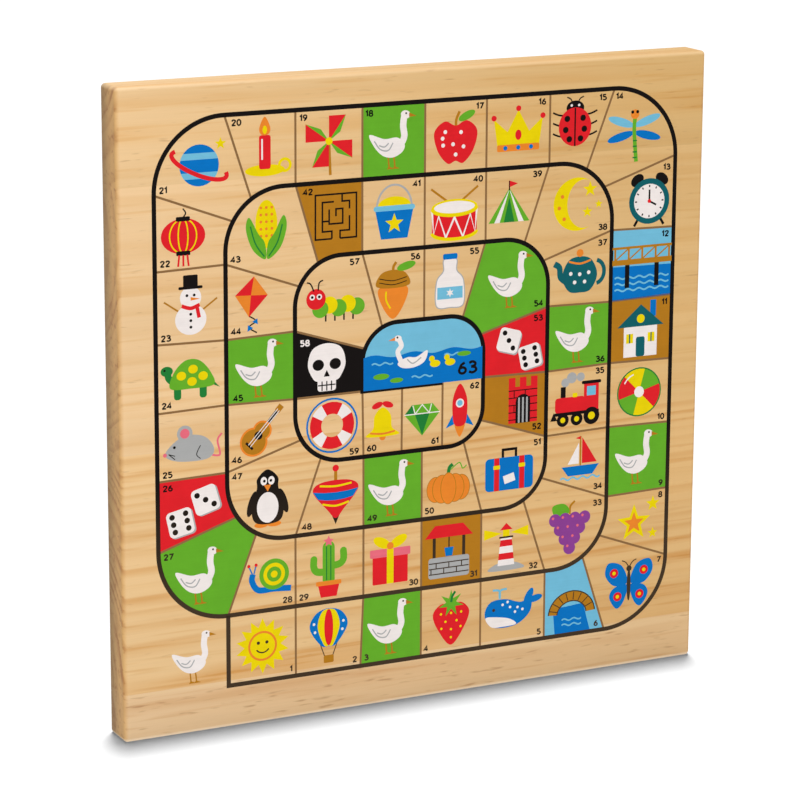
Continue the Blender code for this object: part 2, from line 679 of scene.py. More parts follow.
def smooth(before: Curve, start: Curve, stop: Curve, after: Curve) -> Curve:
    """Runs a Catmull-Rom cubic from each start to its stop, with the slopes of their neighbours.

    Args:
        before: the point before each start.
        start: where each stretch starts.
        stop: where each stretch ends.
        after: the point after each stop.

    Returns:
        A few points for each stretch, without its stop.
    """
    t = np.linspace(0, 1, SMOOTH_POINTS, endpoint=False)[None, :, None]
    p0, p1, p2, p3 = (points[:, None] for points in (before, start, stop, after))
    square, cube = 2 * p0 - 5 * p1 + 4 * p2 - p3, 3 * p1 - p0 - 3 * p2 + p3
    return (p1 + 0.5 * t * (p2 - p0 + t * (square + t * cube))).reshape(-1, 2)


def blob(*flat: float | Curve) -> Curve:
    """Gives a closed smooth outline through points in pairs of numbers."""
    points = poly(*flat)
    return smooth(np.roll(points, 1, 0), points, np.roll(points, -1, 0), np.roll(points, -2, 0))


def bend(*flat: float) -> Curve:
    """Gives an open smooth line through points in pairs of numbers."""
    points = poly(*flat)
    long = np.concatenate([points[:1], points, points[-1:]])
    return np.concatenate([smooth(long[:-3], long[1:-2], long[2:-1], long[3:]), points[-1:]])


def wave(x0: float, x1: float, y: float, length: float, height: float) -> Curve:
    """Gives a sine line from one x to another."""
    x = np.linspace(x0, x1, WAVE_POINTS)
    return np.stack([x, y + height * np.sin(2 * np.pi * (x - x0) / length)], -1)


def fan(outline: Curve) -> tuple[Curve, np.ndarray]:
    """Fills an outline with triangles from its middle to each of its sides."""
    side = np.arange(len(outline))
    middle = np.full_like(side, len(outline))
    points = np.concatenate([outline, outline.mean(0, keepdims=True)])
    return points, np.stack([side, np.roll(side, -1), middle], -1)


def between(first: Curve, second: Curve, closed: bool = False) -> tuple[Curve, np.ndarray]:
    """Rules a strip p(s, t) = (1 - s) a(t) + s b(t) between two curves of as many points."""
    return np.concatenate([first, second]), grid_triangles(2, len(first), closed)


def ribbon(path: Curve, width: float, closed: bool = False) -> tuple[Curve, np.ndarray]:
    """Sweeps a width along a path: p(s, t) = c(t) + s m(t), with m the mitred normal.

    Args:
        path: the middle line.
        width: full width across the line.
        closed: whether the last point joins the first.

    Returns:
        Points and triangles of the ribbon.
    """
    step = np.diff(path, axis=0, append=path[:1])
    after = step / np.maximum(np.linalg.norm(step, axis=1, keepdims=True), 1e-9)
    before = np.roll(after, 1, 0)
    if not closed:
        before[0], after[-1] = after[0], before[-1]
    side = after + before
    side /= np.maximum(np.sum(side * after, axis=1, keepdims=True), 0.4)
    normal = np.stack([-side[:, 1], side[:, 0]], -1) * width / 2
    return between(path - normal, path + normal, closed)


class Level(IntEnum):
    """How many films may lie below a part of the goose print."""

    FIELD = 1
    DETAIL = 2
    LINE = 3
    PICTURE = 5
    NUMBER = 40


class LudoLevel(IntEnum):
    """How many films may lie below a part of the ludo print."""

    COLOUR = 1
    GARDEN = 2
    PLACE = 3
    ROW = 4
    RUNG = 5
    OUTLINE = 6
    DIAGONAL = 7
    FRAME = 9


@dataclass
class PrintedFace:
    """One printed face: thin closed films of ink, one piece for each ink."""

    name: str
    outward: int
    half_height: float
    half_thickness: float
    shift: tuple[float, float] = (0.0, 0.0)
    stretch: float = 1.0
    step: float = 0.0025
    sunk: float = 0.02
    films: dict[Ink, list[tuple[np.ndarray, np.ndarray]]] = field(default_factory=dict)

    def add(self, ink: Ink, points: Curve, triangles: np.ndarray, level: int) -> None:
        """Turns a flat patch into a closed film from just inside the wood up to its level.

        Slivers that a tight bend folds back are left out, so that the film is one sheet thick.

        Args:
            ink: the ink it is printed in.
            points: corners in mm from the middle of the face.
            triangles: three corner numbers a row, in either turn.
            level: how many films lie below it.
        """
        points, triangles = weld(points, triangles)
        a, b, c = (points[triangles[:, i]] for i in range(3))
        area = (b - a)[:, 0] * (c - a)[:, 1] - (b - a)[:, 1] * (c - a)[:, 0]
        turn = int(np.sign(area.sum()))
        triangles = triangles[area * turn > 0][:, ::turn]
        count = len(points)
        edge = triangles[:, [0, 1, 1, 2, 2, 0]].reshape(-1, 2)
        there, back = edge[:, 0] * count + edge[:, 1], edge[:, 1] * count + edge[:, 0]
        rim = edge[~np.isin(there, back)]
        start, stop = rim[:, 0], rim[:, 1]
        walls = [(start, start + count, stop + count), (start, stop + count, stop)]
        parts = [triangles, triangles[:, ::-1] + count, *(np.stack(wall, -1) for wall in walls)]
        height = np.repeat([level * self.step, -self.sunk], count)
        solid = np.concatenate([np.tile(points, (2, 1)), height[:, None]], -1)
        self.films.setdefault(ink, []).append((solid, np.concatenate(parts)))

    def build(self) -> list[Piece]:
        """Makes one piece for each ink, seated on the face.

        Returns:
            The pieces.
        """
        pieces = []
        for ink, films in self.films.items():
            first = np.cumsum([0, *(len(points) for points, _ in films)])
            points = np.concatenate([points for points, _ in films])
            triangles = np.concatenate([tris + at for (_, tris), at in zip(films, first)])
            x = -self.outward * (self.stretch * points[:, 0] + self.shift[0])
            y = self.outward * (self.half_thickness + points[:, 2])
            seated = np.stack([x, y, self.half_height + self.shift[1] + points[:, 1]], -1)
            piece = put_mesh(f"{self.name}_print_{ink.name.lower()}", seated * MM, triangles)
            piece.data.shade_flat()
            piece.data.materials.append(InkFinish(ink).material())
            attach(piece, BODY)
            pieces.append(piece)
            LOG.info("%s: %d films, %d triangles", piece.name, len(films), len(triangles))
        return pieces


@dataclass
class Pen:
    """Draws one picture: each film lies one step above the film before it."""

    face: PrintedFace
    x: float
    y: float
    unit: float
    level: int = Level.PICTURE

    def fill(self, ink: Ink, *outlines: Curve) -> None:
        """Fills closed outlines that can be seen whole from their middle."""
        for outline in outlines:
            self._film(ink, *fan(self._placed(outline)))

    def line(self, ink: Ink, width: float, *paths: Curve, closed: bool = False) -> None:
        """Draws lines of one width."""
        for path in paths:
            self._film(ink, *ribbon(self._placed(path), width * self.unit, closed))

    def strip(self, ink: Ink, first: Curve, second: Curve) -> None:
        """Fills the strip between two curves of as many points."""
        self._film(ink, *between(self._placed(first), self._placed(second)))

    def dots(self, ink: Ink, radius: float, *places: float | Curve) -> None:
        """Draws discs of one size at places in pairs of numbers."""
        self.fill(ink, *(oval(x, y, radius) for x, y in poly(*places)))

    def _film(self, ink: Ink, points: Curve, triangles: np.ndarray) -> None:
        """Prints a patch above all that the pen drew before."""
        self.face.add(ink, points, triangles, self.level)
        self.level += 1

    def _placed(self, curve: Curve) -> Curve:
        """Brings a curve from the drawing's units to the face."""
        return curve * self.unit + (self.x, self.y)


DIGITS: dict[str, tuple[Curve, ...]] = {
    "0": (arc(0.3, 0.5, 0.25, 0.46, 90, 450),),
    "1": (poly(0.02, 0.74, 0.24, 0.96, 0.24, 0.04),),
    "2": (bend(0.06, 0.72, 0.2, 0.93, 0.45, 0.9, 0.5, 0.66, 0.06, 0.05), poly(0.04, 0.05, 0.56, 0.05)),
    "3": (
        bend(0.06, 0.86, 0.28, 0.96, 0.48, 0.84, 0.46, 0.64, 0.2, 0.54),
        bend(0.2, 0.54, 0.48, 0.46, 0.55, 0.22, 0.32, 0.05, 0.04, 0.13),
    ),
    "4": (poly(0.42, 0.04, 0.42, 0.96, 0.04, 0.3, 0.58, 0.3),),
    "5": (
        poly(0.5, 0.95, 0.12, 0.95, 0.1, 0.56),
        bend(0.1, 0.56, 0.38, 0.58, 0.54, 0.32, 0.34, 0.05, 0.04, 0.12),
    ),
    "6": (bend(0.46, 0.94, 0.2, 0.72, 0.07, 0.32), arc(0.3, 0.29, 0.24, 0.25, 0, 360)),
    "7": (poly(0.05, 0.95, 0.55, 0.95, 0.2, 0.04),),
    "8": (arc(0.3, 0.73, 0.2, 0.22, 90, 450), arc(0.3, 0.27, 0.25, 0.24, 90, 450)),
    "9": (bend(0.14, 0.06, 0.4, 0.28, 0.53, 0.68), arc(0.3, 0.71, 0.24, 0.25, 0, 360)),
}
DIGIT_WIDTH = 1.28
DIGIT_PITCH = 0.93
NARROW_PITCH = 0.58
DIGIT_MARGIN = 0.07


def digit_widths(value: int) -> np.ndarray:
    """Gives the room that each digit of a number takes, as a share of its height."""
    return np.array([NARROW_PITCH if digit == "1" else DIGIT_PITCH for digit in str(value)])


def number(pen: Pen, ink: Ink, value: int, weight: float = 0.25) -> None:
    """Writes a number with its middle at the pen's place, one unit high."""
    widths = digit_widths(value)
    for digit, right in zip(str(value), np.cumsum(widths) - 0.5 * widths.sum()):
        shift = right - digit_widths(int(digit))[0] + DIGIT_MARGIN
        pen.line(ink, weight, *(path * (DIGIT_WIDTH, 1) + (shift, -0.5) for path in DIGITS[digit]))


def goose(p: Pen) -> None:
    """White goose that looks right."""
    legs = bend(-0.02, -0.5, 0.02, -0.74, 0.03, -0.95), bend(-0.22, -0.5, -0.2, -0.74, -0.18, -0.95)
    p.line(N, 0.055, *legs)
    p.fill(N, poly(0.02, -0.88, 0.22, -0.97, -0.06, -0.98), poly(-0.19, -0.88, 0.01, -0.97, -0.27, -0.98))
    p.line(W, 0.24, bend(0.2, -0.24, 0.38, 0.1, 0.34, 0.48, 0.38, 0.84))
    back, belly = (0.4, -0.16, 0.12, 0.09, -0.36, 0.07, -0.92, 0.24), (-0.74, -0.18, -0.42, -0.5)
    p.fill(W, blob(*back, *belly, -0.05, -0.58, 0.3, -0.42))
    p.fill(W, oval(0.43, 0.86, 0.18, 0.14, -12))
    p.fill(N, poly(0.56, 0.92, 0.84, 0.79, 0.56, 0.77))
    p.dots(K, 0.035, 0.45, 0.9)
    p.line(A, 0.045, bend(-0.04, -0.08, -0.22, -0.33, -0.52, -0.27, -0.74, 0.02))
    p.line(A, 0.045, bend(-0.2, -0.08, -0.36, -0.2, -0.56, -0.14))


def bridge(p: Pen) -> None:
    """Stone bridge over a stream."""
    p.line(S, 0.06, *(wave(-0.45, 0.45, y, 0.45, 0.04) for y in (-0.7, -0.92)))
    arches = arc(0, -0.5, 1.08, 1.0, 4, 176), arc(0, -0.5, 0.68, 0.58, 4, 176)
    p.strip(N, *arches)
    p.line(K, 0.05, *arches)
    stones = (turned(poly(0.7, 0, 1.06, 0), a) * (1, 0.9) + (0, -0.5) for a in range(25, 170, 20))
    p.line(K, 0.04, *stones)


def plank_bridge(p: Pen) -> None:
    """Wooden bridge on two piers, from side to side of its cell."""
    p.line(S, 0.06, *(wave(-1.1, 1.1, y, 0.44, 0.04) for y in (-0.5, -0.72, -0.94)))
    p.fill(K, *both(box(0.6, -0.42, 0.18, 0.9)))
    p.fill(N, box(0, 0.06, 2.42, 0.2))
    p.line(N, 0.09, poly(-1.21, 0.58, 1.21, 0.58))
    p.line(N, 0.08, *(poly(x, 0.1, x, 0.58) for x in (-1.1, -0.55, 0, 0.55, 1.1)))
    p.line(N, 0.05, *(poly(x, 0.14, x + 0.55, 0.56) for x in (-1.1, -0.55, 0, 0.55)))


def inn(p: Pen) -> None:
    """House with a door, two lit windows and a chimney."""
    p.fill(B, box(0.5, 0.75, 0.24, 0.6))
    p.fill(W, box(0, -0.4, 1.36, 1.16))
    p.fill(T, even(0, 0.92, 0.95, 0.12))
    p.fill(T, box(0, -0.62, 0.36, 0.72, 0.08))
    p.fill(Y, *both(box(0.44, -0.3, 0.28, 0.34)), oval(0, 0.4, 0.16))
    p.line(T, 0.05, *both(poly(0.44, -0.47, 0.44, -0.13)))


def dice(p: Pen, side: int = -1) -> None:
    """Two dice, the upper one on that side."""
    six = (-0.25, -0.27, -0.25, 0, -0.25, 0.27, 0.25, -0.27, 0.25, 0, 0.25, 0.27)
    three = (-0.25, 0.25, 0, 0, 0.25, -0.25)
    for turn, x, y, spots in ((16 * side, 0.46 * side, 0.34, three), (12, -0.46 * side, -0.36, six)):
        p.fill(A, turned(box(0.05, -0.05, 0.92, 0.92, 0.16), turn, x, y))
        p.fill(W, turned(box(0, 0, 0.92, 0.92, 0.16), turn, x, y))
        p.dots(K, 0.1, *turned(poly(*spots), turn, x, y).ravel())


def joints(height: float, *rows: tuple[float, ...]) -> list[Curve]:
    """Gives the upright joints of rows of bricks, each row by its y and the x of its joints."""
    return [poly(x, y, x, y + height) for y, *places in rows for x in places]


def well(p: Pen) -> None:
    """Draw well with a roof and a bucket."""
    p.fill(K, *both(box(0.58, 0.05, 0.12, 1.1)))
    p.fill(R, even(0.55, 0.95, 0.95, 0.5))
    p.line(K, 0.05, poly(0, 0.5, 0, 0.1))
    p.fill(B, even(0.18, 0.12, 0.13, -0.2))
    p.fill(A, box(0, -0.6, 1.6, 0.76, 0.1))
    p.line(K, 0.04, *(poly(-0.78, y, 0.78, y) for y in (-0.42, -0.62, -0.82)))
    p.line(K, 0.04, *joints(0.2, (-0.62, -0.5, 0, 0.5), (-0.82, -0.7, -0.2, 0.3)))


def labyrinth(p: Pen) -> None:
    """Square maze with one way in."""
    walls = (
        poly(-0.2, -1, -1, -1, -1, 1, 1, 1, 1, -1, 0.2, -1),
        poly(0.2, -1, 0.2, -0.66, 0.66, -0.66, 0.66, 0),
        poly(-0.2, -1, -0.2, -0.66, -0.66, -0.66, -0.66, 0.66, -0.1, 0.66),
        poly(0.3, 1, 0.3, 0.66, 0.66, 0.66, 0.66, 0.3),
        poly(-0.33, 0.33, -0.33, -0.33, 0.33, -0.33, 0.33, 0.33, 0, 0.33, 0, 0),
        poly(-0.66, -0.2, -0.33, -0.2),
    )
    p.line(K, 0.08, *walls)


def prison(p: Pen) -> None:
    """Brick tower with a barred door."""
    p.fill(R, box(0, -0.2, 1.3, 1.5), *(box(x, 0.68, 0.3, 0.5) for x in (-0.5, 0, 0.5)))
    p.line(K, 0.04, *(poly(-0.65, y, 0.65, y) for y in (0.4, 0.1, -0.2, -0.5, -0.8)))
    p.line(K, 0.04, *joints(0.3, (0.1, -0.4, 0.1), (-0.2, -0.2, 0.3), (-0.5, -0.4, 0.1)))
    p.fill(K, box(0, -0.52, 0.66, 0.86), oval(0, -0.1, 0.33))
    p.line(A, 0.08, *(poly(x, -0.94, x, 0.1) for x in (-0.18, 0, 0.18)))


def skull(p: Pen) -> None:
    """Skull."""
    p.fill(W, blob(even(0, 1, 0.6, 0.8, 0.8, 0.2, 0.62, -0.3, 0.36, -0.5)))
    p.fill(W, box(0, -0.62, 0.78, 0.56, 0.12))
    p.fill(K, *both(oval(0.36, 0.16, 0.24, 0.22)), even(0, -0.06, 0.13, -0.32))
    p.line(K, 0.05, *(poly(x, -0.88, x, -0.5) for x in (-0.2, 0, 0.2)), poly(-0.37, -0.66, 0.37, -0.66))


def pond(p: Pen) -> None:
    """Pond with a swimming goose, two goslings and lily pads."""
    bed = poly(-2.55, -1.298, 2.55, -1.298)[np.repeat([0, 1], [WAVE_POINTS // 2, WAVE_POINTS // 2 + 1])]
    p.strip(B, wave(-2.55, 2.55, 0.0, 1.7, 0.07), bed)
    p.line(S, 0.06, *(wave(x, x + 0.9, y, 0.45, 0.04) for x, y in ((-2.2, -0.3), (-0.5, -0.95), (0.9, -0.2))))
    p.line(W, 0.2, bend(-0.95, -0.3, -1.1, 0.1, -0.95, 0.34, -1.06, 0.62))
    p.fill(W, blob(-1.1, -0.34, -0.7, -0.14, -0.3, -0.16, 0.16, 0.06, 0.05, -0.36, -0.4, -0.56, -0.9, -0.54))
    p.fill(W, oval(-1.1, 0.64, 0.16, 0.12))
    p.fill(O, poly(-1.22, 0.7, -1.5, 0.58, -1.22, 0.56))
    p.dots(K, 0.04, -1.12, 0.68)
    p.line(A, 0.05, bend(-0.7, -0.22, -0.45, -0.4, -0.1, -0.2))
    for x in (0.5, 1.15):
        p.fill(Y, oval(x, -0.5, 0.22, 0.14), oval(x - 0.14, -0.3, 0.12))
    p.fill(G, oval(-1.8, -0.8, 0.34, 0.12), oval(-1.15, -1.0, 0.28, 0.1), oval(1.75, -0.22, 0.3, 0.1))


def sun(p: Pen) -> None:
    """Sun with a face."""
    p.fill(Y, star(0, 0, 14, 1.0, 0.68))
    p.fill(O, oval(0, 0, 0.54))
    p.fill(Y, oval(0, 0, 0.46))
    p.dots(K, 0.06, -0.16, 0.12, 0.16, 0.12)
    p.line(K, 0.05, arc(0, 0, 0.26, 0.24, 210, 330))


def balloon(p: Pen) -> None:
    """Hot-air balloon."""
    p.line(K, 0.035, *both(poly(0.34, -0.2, 0.16, -0.7)))
    p.fill(N, box(0, -0.82, 0.38, 0.28, 0.05))
    p.fill(B, blob(even(0, 1.02, 0.5, 0.85, 0.72, 0.35, 0.3, -0.3, 0, -0.36)))
    p.fill(Y, blob(even(0, 1.0, 0.28, 0.88, 0.42, 0.35, 0.18, -0.3, 0, -0.34)))
    p.fill(R, oval(0, 0.33, 0.17, 0.66))
    p.dots(W, 0.05, even(0.56, 0.5, 0.52, 0.2))


def strawberry(p: Pen) -> None:
    """Strawberry."""
    p.fill(R, blob(even(0, -0.98, 0.5, -0.4, 0.72, 0.2, 0.4, 0.56, 0, 0.5)))
    p.dots(Y, 0.045, even(0, 0.2, 0.4, 0.2, 0.22, -0.1, 0, -0.4, 0.38, -0.34, 0, -0.7))
    p.fill(G, star(0, 0.56, 7, 0.5, 0.2))
    p.line(D, 0.09, bend(0, 0.6, 0.04, 0.8, 0.16, 0.98))


def whale(p: Pen) -> None:
    """Spouting whale."""
    p.fill(B, oval(0.74, 0.4, 0.34, 0.14, 62), oval(1.0, 0.3, 0.3, 0.13, 12))
    back, belly = (-1.02, -0.1, -0.8, 0.36, -0.2, 0.42, 0.4, 0.24), (0.84, 0.32, 0.78, -0.2, 0.2, -0.6)
    p.fill(B, blob(*back, *belly, -0.7, -0.58))
    p.fill(W, blob(-0.98, -0.2, -0.5, -0.22, 0, -0.34, 0.24, -0.56, -0.3, -0.6, -0.75, -0.56))
    p.dots(W, 0.05, -0.3, 0.22, 0.0, 0.1, 0.3, 0.06, -0.1, 0.3, 0.2, -0.1, 0.5, -0.04)
    p.dots(K, 0.06, -0.66, 0.06)
    p.line(S, 0.08, bend(-0.42, 0.45, -0.44, 0.75, -0.7, 0.8), bend(-0.42, 0.45, -0.4, 0.75, -0.14, 0.8))


def butterfly(p: Pen) -> None:
    """Butterfly with open wings."""
    upper = blob(0.06, 0.1, 0.3, 0.75, 0.85, 0.9, 0.98, 0.45, 0.6, 0.02)
    lower = blob(0.06, 0.0, 0.6, -0.05, 0.8, -0.4, 0.5, -0.85, 0.2, -0.6)
    p.fill(B, *both(upper, lower))
    for ink, radius in ((R, 0.17), (Y, 0.07)):
        p.dots(ink, radius, even(0.62, 0.5, 0.46, -0.4))
    p.fill(K, oval(0, 0, 0.08, 0.6), oval(0, 0.62, 0.11))
    p.line(K, 0.04, *both(bend(0, 0.66, 0.14, 0.86, 0.3, 0.94)))


def stars(p: Pen) -> None:
    """Three stars."""
    p.fill(Y, star(-0.2, -0.12, 5, 0.85, 0.36))
    p.fill(Y, star(0.72, 0.66, 5, 0.36, 0.15), star(0.74, -0.66, 5, 0.26, 0.11))
    p.fill(O, star(-0.2, -0.12, 5, 0.5, 0.21))


def beach_ball(p: Pen) -> None:
    """Beach ball."""
    for place, ink in enumerate((G, Y, R) * 2):
        p.fill(ink, wedge(0, 0, 0.88, 60 * place + 15, 60 * place + 76))
    p.line(D, 0.05, oval(0, 0, 0.88), closed=True)
    p.fill(W, oval(0, 0, 0.2))
    p.line(W, 0.05, arc(0, 0, 0.7, 0.7, 110, 150))


def clock(p: Pen) -> None:
    """Alarm clock with two bells."""
    p.fill(K, *both(oval(0.5, 0.72, 0.28, 0.2, -35)))
    p.line(K, 0.1, *both(poly(0.4, -0.6, 0.6, -0.92)))
    p.fill(T, oval(0, -0.05, 0.82))
    p.fill(W, oval(0, -0.05, 0.62))
    p.line(K, 0.05, *(turned(poly(0.5, 0, 0.58, 0), a, 0, -0.05) for a in range(0, 360, 30)))
    p.line(K, 0.07, poly(0, 0.36, 0, -0.05, 0.28, -0.2))
    p.dots(R, 0.07, 0, -0.05)


def dragonfly(p: Pen) -> None:
    """Dragonfly."""
    for turn, y, ink in ((18, 0.32, S), (-14, 0.1, B)):
        p.fill(ink, *both(turned(oval(0.56, 0, 0.54, 0.15), turn, 0, y)))
    p.line(G, 0.15, bend(0.02, 0.6, 0, 0.1, 0.1, -0.95))
    p.line(D, 0.05, *(poly(-0.05, y, 0.12, y) for y in (-0.2, -0.4, -0.6, -0.8)))
    p.fill(O, oval(0.02, 0.74, 0.17))
    p.dots(K, 0.06, -0.08, 0.82, 0.12, 0.82)


def ladybird(p: Pen) -> None:
    """Ladybird."""
    p.line(K, 0.07, *both(*(bend(0.95, y + 0.12, 0.6, y, 0, y) for y in (-0.5, -0.1, 0.3))))
    p.line(K, 0.05, *both(bend(0.1, 0.7, 0.2, 0.9, 0.36, 0.98)))
    p.fill(K, oval(0, 0.56, 0.38, 0.28))
    p.fill(R, oval(0, -0.16, 0.7, 0.74))
    p.line(K, 0.06, poly(0, 0.56, 0, -0.9))
    p.dots(K, 0.12, even(0.34, 0.16, 0.4, -0.26, 0.24, -0.62))
    p.dots(W, 0.05, even(0.16, 0.66))


def crown(p: Pen) -> None:
    """Crown."""
    foot = poly(-0.8, -0.6, -0.4, -0.6, 0, -0.6, 0.4, -0.6, 0.8, -0.6)
    p.strip(Y, poly(-0.95, 0.45, -0.42, 0, 0, 0.75, 0.42, 0, 0.95, 0.45), foot)
    p.fill(O, box(0, -0.56, 1.64, 0.24, 0.06))
    p.dots(R, 0.1, even(0.95, 0.5, 0, 0.8))
    p.dots(B, 0.08, even(0, -0.56, 0.5, -0.56))
    p.fill(R, oval(0, -0.12, 0.12, 0.18))


def apple(p: Pen) -> None:
    """Apple."""
    p.line(N, 0.1, bend(0, 0.4, 0.02, 0.65, 0.14, 0.92))
    p.fill(R, blob(even(0, 0.44, 0.42, 0.6, 0.82, 0.24, 0.68, -0.42, 0.3, -0.86, 0, -0.78)))
    p.fill(G, oval(0.42, 0.76, 0.34, 0.14, 24))
    p.dots(W, 0.07, -0.4, 0.24, -0.5, 0.02, -0.48, -0.22, 0.2, 0.2, 0.3, -0.3, -0.1, -0.2, 0.0, -0.56)


def pinwheel(p: Pen) -> None:
    """Toy windmill on a stick."""
    p.line(N, 0.1, poly(0, 0.1, 0.05, -1.02))
    for turn in range(0, 360, 90):
        p.fill(R, turned(poly(0, 0, 0, 0.86, 0.62, 0.86, 0.42, 0.42), turn, 0, 0.14))
        p.fill(G, turned(poly(0, 0, 0.62, 0.86, 0.42, 0.3), turn, 0, 0.14))
    p.fill(Y, oval(0, 0.14, 0.13))


def candle(p: Pen) -> None:
    """Candle in a holder."""
    p.line(Y, 0.1, oval(0.72, -0.62, 0.2), closed=True)
    p.fill(Y, oval(0, -0.76, 0.72, 0.2))
    p.fill(R, box(0, -0.15, 0.42, 1.14, 0.08))
    p.fill(O, blob(even(0, 1.04, 0.2, 0.66, 0.12, 0.44)))
    p.fill(Y, oval(0, 0.6, 0.08, 0.14))
    p.line(W, 0.06, poly(-0.1, 0.3, -0.1, -0.4))


def planet(p: Pen) -> None:
    """Ringed planet with a star."""
    p.fill(B, oval(0, 0, 0.7))
    bands = ((arc(0, 0, 0.7, 0.7, a, a + 20), arc(0, 0, 0.7, 0.7, 160 - a, 180 - a)) for a in (16, -40))
    p.fill(S, *(np.concatenate(band) for band in bands))
    p.line(R, 0.15, turned(arc(0, 0, 1.06, 0.32, 158, 382), -24))
    p.fill(Y, star(0.76, 0.68, 5, 0.22, 0.09))


def lantern(p: Pen) -> None:
    """Paper lantern."""
    p.line(K, 0.05, bend(0, 1.02, 0.1, 0.86, 0, 0.7))
    p.fill(R, oval(0, 0.06, 0.82, 0.62))
    p.line(Y, 0.05, oval(0, 0.06, 0.5, 0.6), oval(0, 0.06, 0.18, 0.6), closed=True)
    p.fill(K, box(0, 0.66, 0.52, 0.16, 0.04), box(0, -0.54, 0.52, 0.16, 0.04))
    p.line(R, 0.07, *(poly(x, -0.6, x * 1.3, -1.0) for x in (-0.15, 0, 0.15)))


def snowman(p: Pen) -> None:
    """Snowman with a hat."""
    p.line(N, 0.06, *both(poly(0.4, -0.2, 0.95, 0.18)))
    p.fill(W, oval(0, -0.48, 0.56, 0.52), oval(0, 0.26, 0.38))
    p.fill(K, box(0, 0.6, 0.86, 0.1, 0.04), box(0, 0.82, 0.52, 0.42, 0.04))
    p.line(R, 0.13, bend(-0.32, 0.0, 0, -0.1, 0.32, 0.0), poly(0.22, -0.04, 0.3, -0.44))
    p.dots(K, 0.05, even(0.13, 0.34, 0, -0.3, 0, -0.52, 0, -0.74))
    p.fill(O, poly(0, 0.28, 0, 0.16, 0.34, 0.2))


def tortoise(p: Pen) -> None:
    """Tortoise."""
    p.fill(D, box(-0.5, -0.5, 0.26, 0.5, 0.1), box(0.42, -0.5, 0.26, 0.5, 0.1))
    p.fill(D, poly(0.7, -0.3, 1.02, -0.44, 0.7, -0.1))
    p.line(D, 0.24, bend(-0.55, -0.2, -0.8, 0.0, -0.84, 0.2))
    p.fill(D, oval(-0.88, 0.26, 0.22, 0.17))
    p.fill(G, blob(-0.76, -0.34, -0.62, 0.2, -0.2, 0.58, 0.3, 0.54, 0.7, 0.1, 0.8, -0.34, 0, -0.4))
    p.fill(Y, *(oval(x, y, 0.17, 0.15) for x, y in poly(-0.36, 0.06, 0.06, 0.26, 0.42, 0.0, 0.02, -0.16)))
    p.dots(K, 0.04, -0.96, 0.3)


def mouse(p: Pen) -> None:
    """Mouse."""
    p.line(P, 0.07, bend(0.6, -0.44, 1.0, -0.5, 0.92, 0.0, 1.08, 0.24))
    p.fill(A, blob(-0.98, -0.32, -0.6, 0.12, -0.1, 0.3, 0.5, 0.16, 0.8, -0.3, 0.5, -0.6, -0.5, -0.58))
    p.fill(A, oval(-0.26, 0.36, 0.28))
    p.fill(P, oval(-0.26, 0.36, 0.17), oval(-0.98, -0.32, 0.07))
    p.dots(K, 0.05, -0.64, -0.08)
    p.line(K, 0.03, *(poly(-0.85, -0.3, -0.62, y) for y in (-0.5, -0.38)))
    p.line(K, 0.03, bend(0.3, -0.1, 0.16, -0.4, 0.3, -0.56))


def snail(p: Pen) -> None:
    """Snail."""
    p.line(B, 0.26, bend(0.95, -0.68, 0.2, -0.62, -0.5, -0.6, -0.78, -0.2, -0.74, 0.1))
    p.line(B, 0.06, poly(-0.76, 0.1, -0.92, 0.44), poly(-0.7, 0.1, -0.6, 0.46))
    p.dots(R, 0.07, -0.92, 0.46, -0.6, 0.48)
    for ink, radius in ((G, 0.66), (Y, 0.48), (G, 0.32), (Y, 0.15)):
        p.fill(ink, oval(0.2, 0.0, radius))


def cactus(p: Pen) -> None:
    """Cactus in a pot."""
    p.line(G, 0.26, bend(0, -0.1, -0.42, -0.06, -0.56, 0.12, -0.56, 0.4))
    p.line(G, 0.26, bend(0, 0.1, 0.4, 0.14, 0.56, 0.3, 0.56, 0.6))
    p.fill(G, oval(-0.56, 0.4, 0.13), oval(0.56, 0.6, 0.13), box(0, 0.2, 0.46, 1.6, 0.22))
    p.line(D, 0.04, *both(poly(0.08, -0.4, 0.08, 0.82)))
    p.fill(R, even(0.42, -0.5, 0.3, -1.0))
    p.fill(O, box(0, -0.5, 0.96, 0.16, 0.04))
    p.fill(P, star(0, 1.0, 5, 0.2, 0.1))


def gift(p: Pen) -> None:
    """Present with a bow."""
    p.fill(R, box(0, -0.36, 1.36, 1.1, 0.04))
    p.fill(P, box(0, 0.22, 1.56, 0.3, 0.04))
    p.fill(Y, box(0, -0.28, 0.26, 1.26))
    p.fill(Y, *both(oval(0.32, 0.6, 0.36, 0.18, 28)))
    p.fill(O, oval(0, 0.46, 0.13))


def lighthouse(p: Pen) -> None:
    """Lighthouse on a rock."""
    p.fill(Y, *both(poly(0.2, 0.62, 1.05, 0.86, 1.05, 0.4)))
    p.fill(A, blob(-0.8, -1.0, -0.5, -0.72, 0.1, -0.66, 0.6, -0.76, 0.8, -1.0))
    p.fill(W, even(0.26, 0.44, 0.4, -0.8))
    p.fill(R, even(0.27, 0.32, 0.31, 0.04), even(0.34, -0.26, 0.37, -0.54))
    p.fill(Y, box(0, 0.62, 0.32, 0.3))
    p.fill(K, box(0, 0.44, 0.66, 0.08))
    p.fill(R, even(0, 1.06, 0.3, 0.76))


def grapes(p: Pen) -> None:
    """Bunch of grapes."""
    p.line(N, 0.08, bend(0, 0.5, 0.02, 0.8, 0.2, 0.98))
    p.fill(G, blob(0, 0.62, -0.24, 0.92, -0.7, 0.86, -0.62, 0.5, -0.3, 0.46))
    for row, count in enumerate((4, 3, 2, 1)):
        for place in range(count):
            p.fill(V, oval(0.4 * (place - (count - 1) / 2), 0.34 - 0.36 * row, 0.24))
            p.dots(P, 0.05, 0.4 * (place - (count - 1) / 2) - 0.08, 0.42 - 0.36 * row)


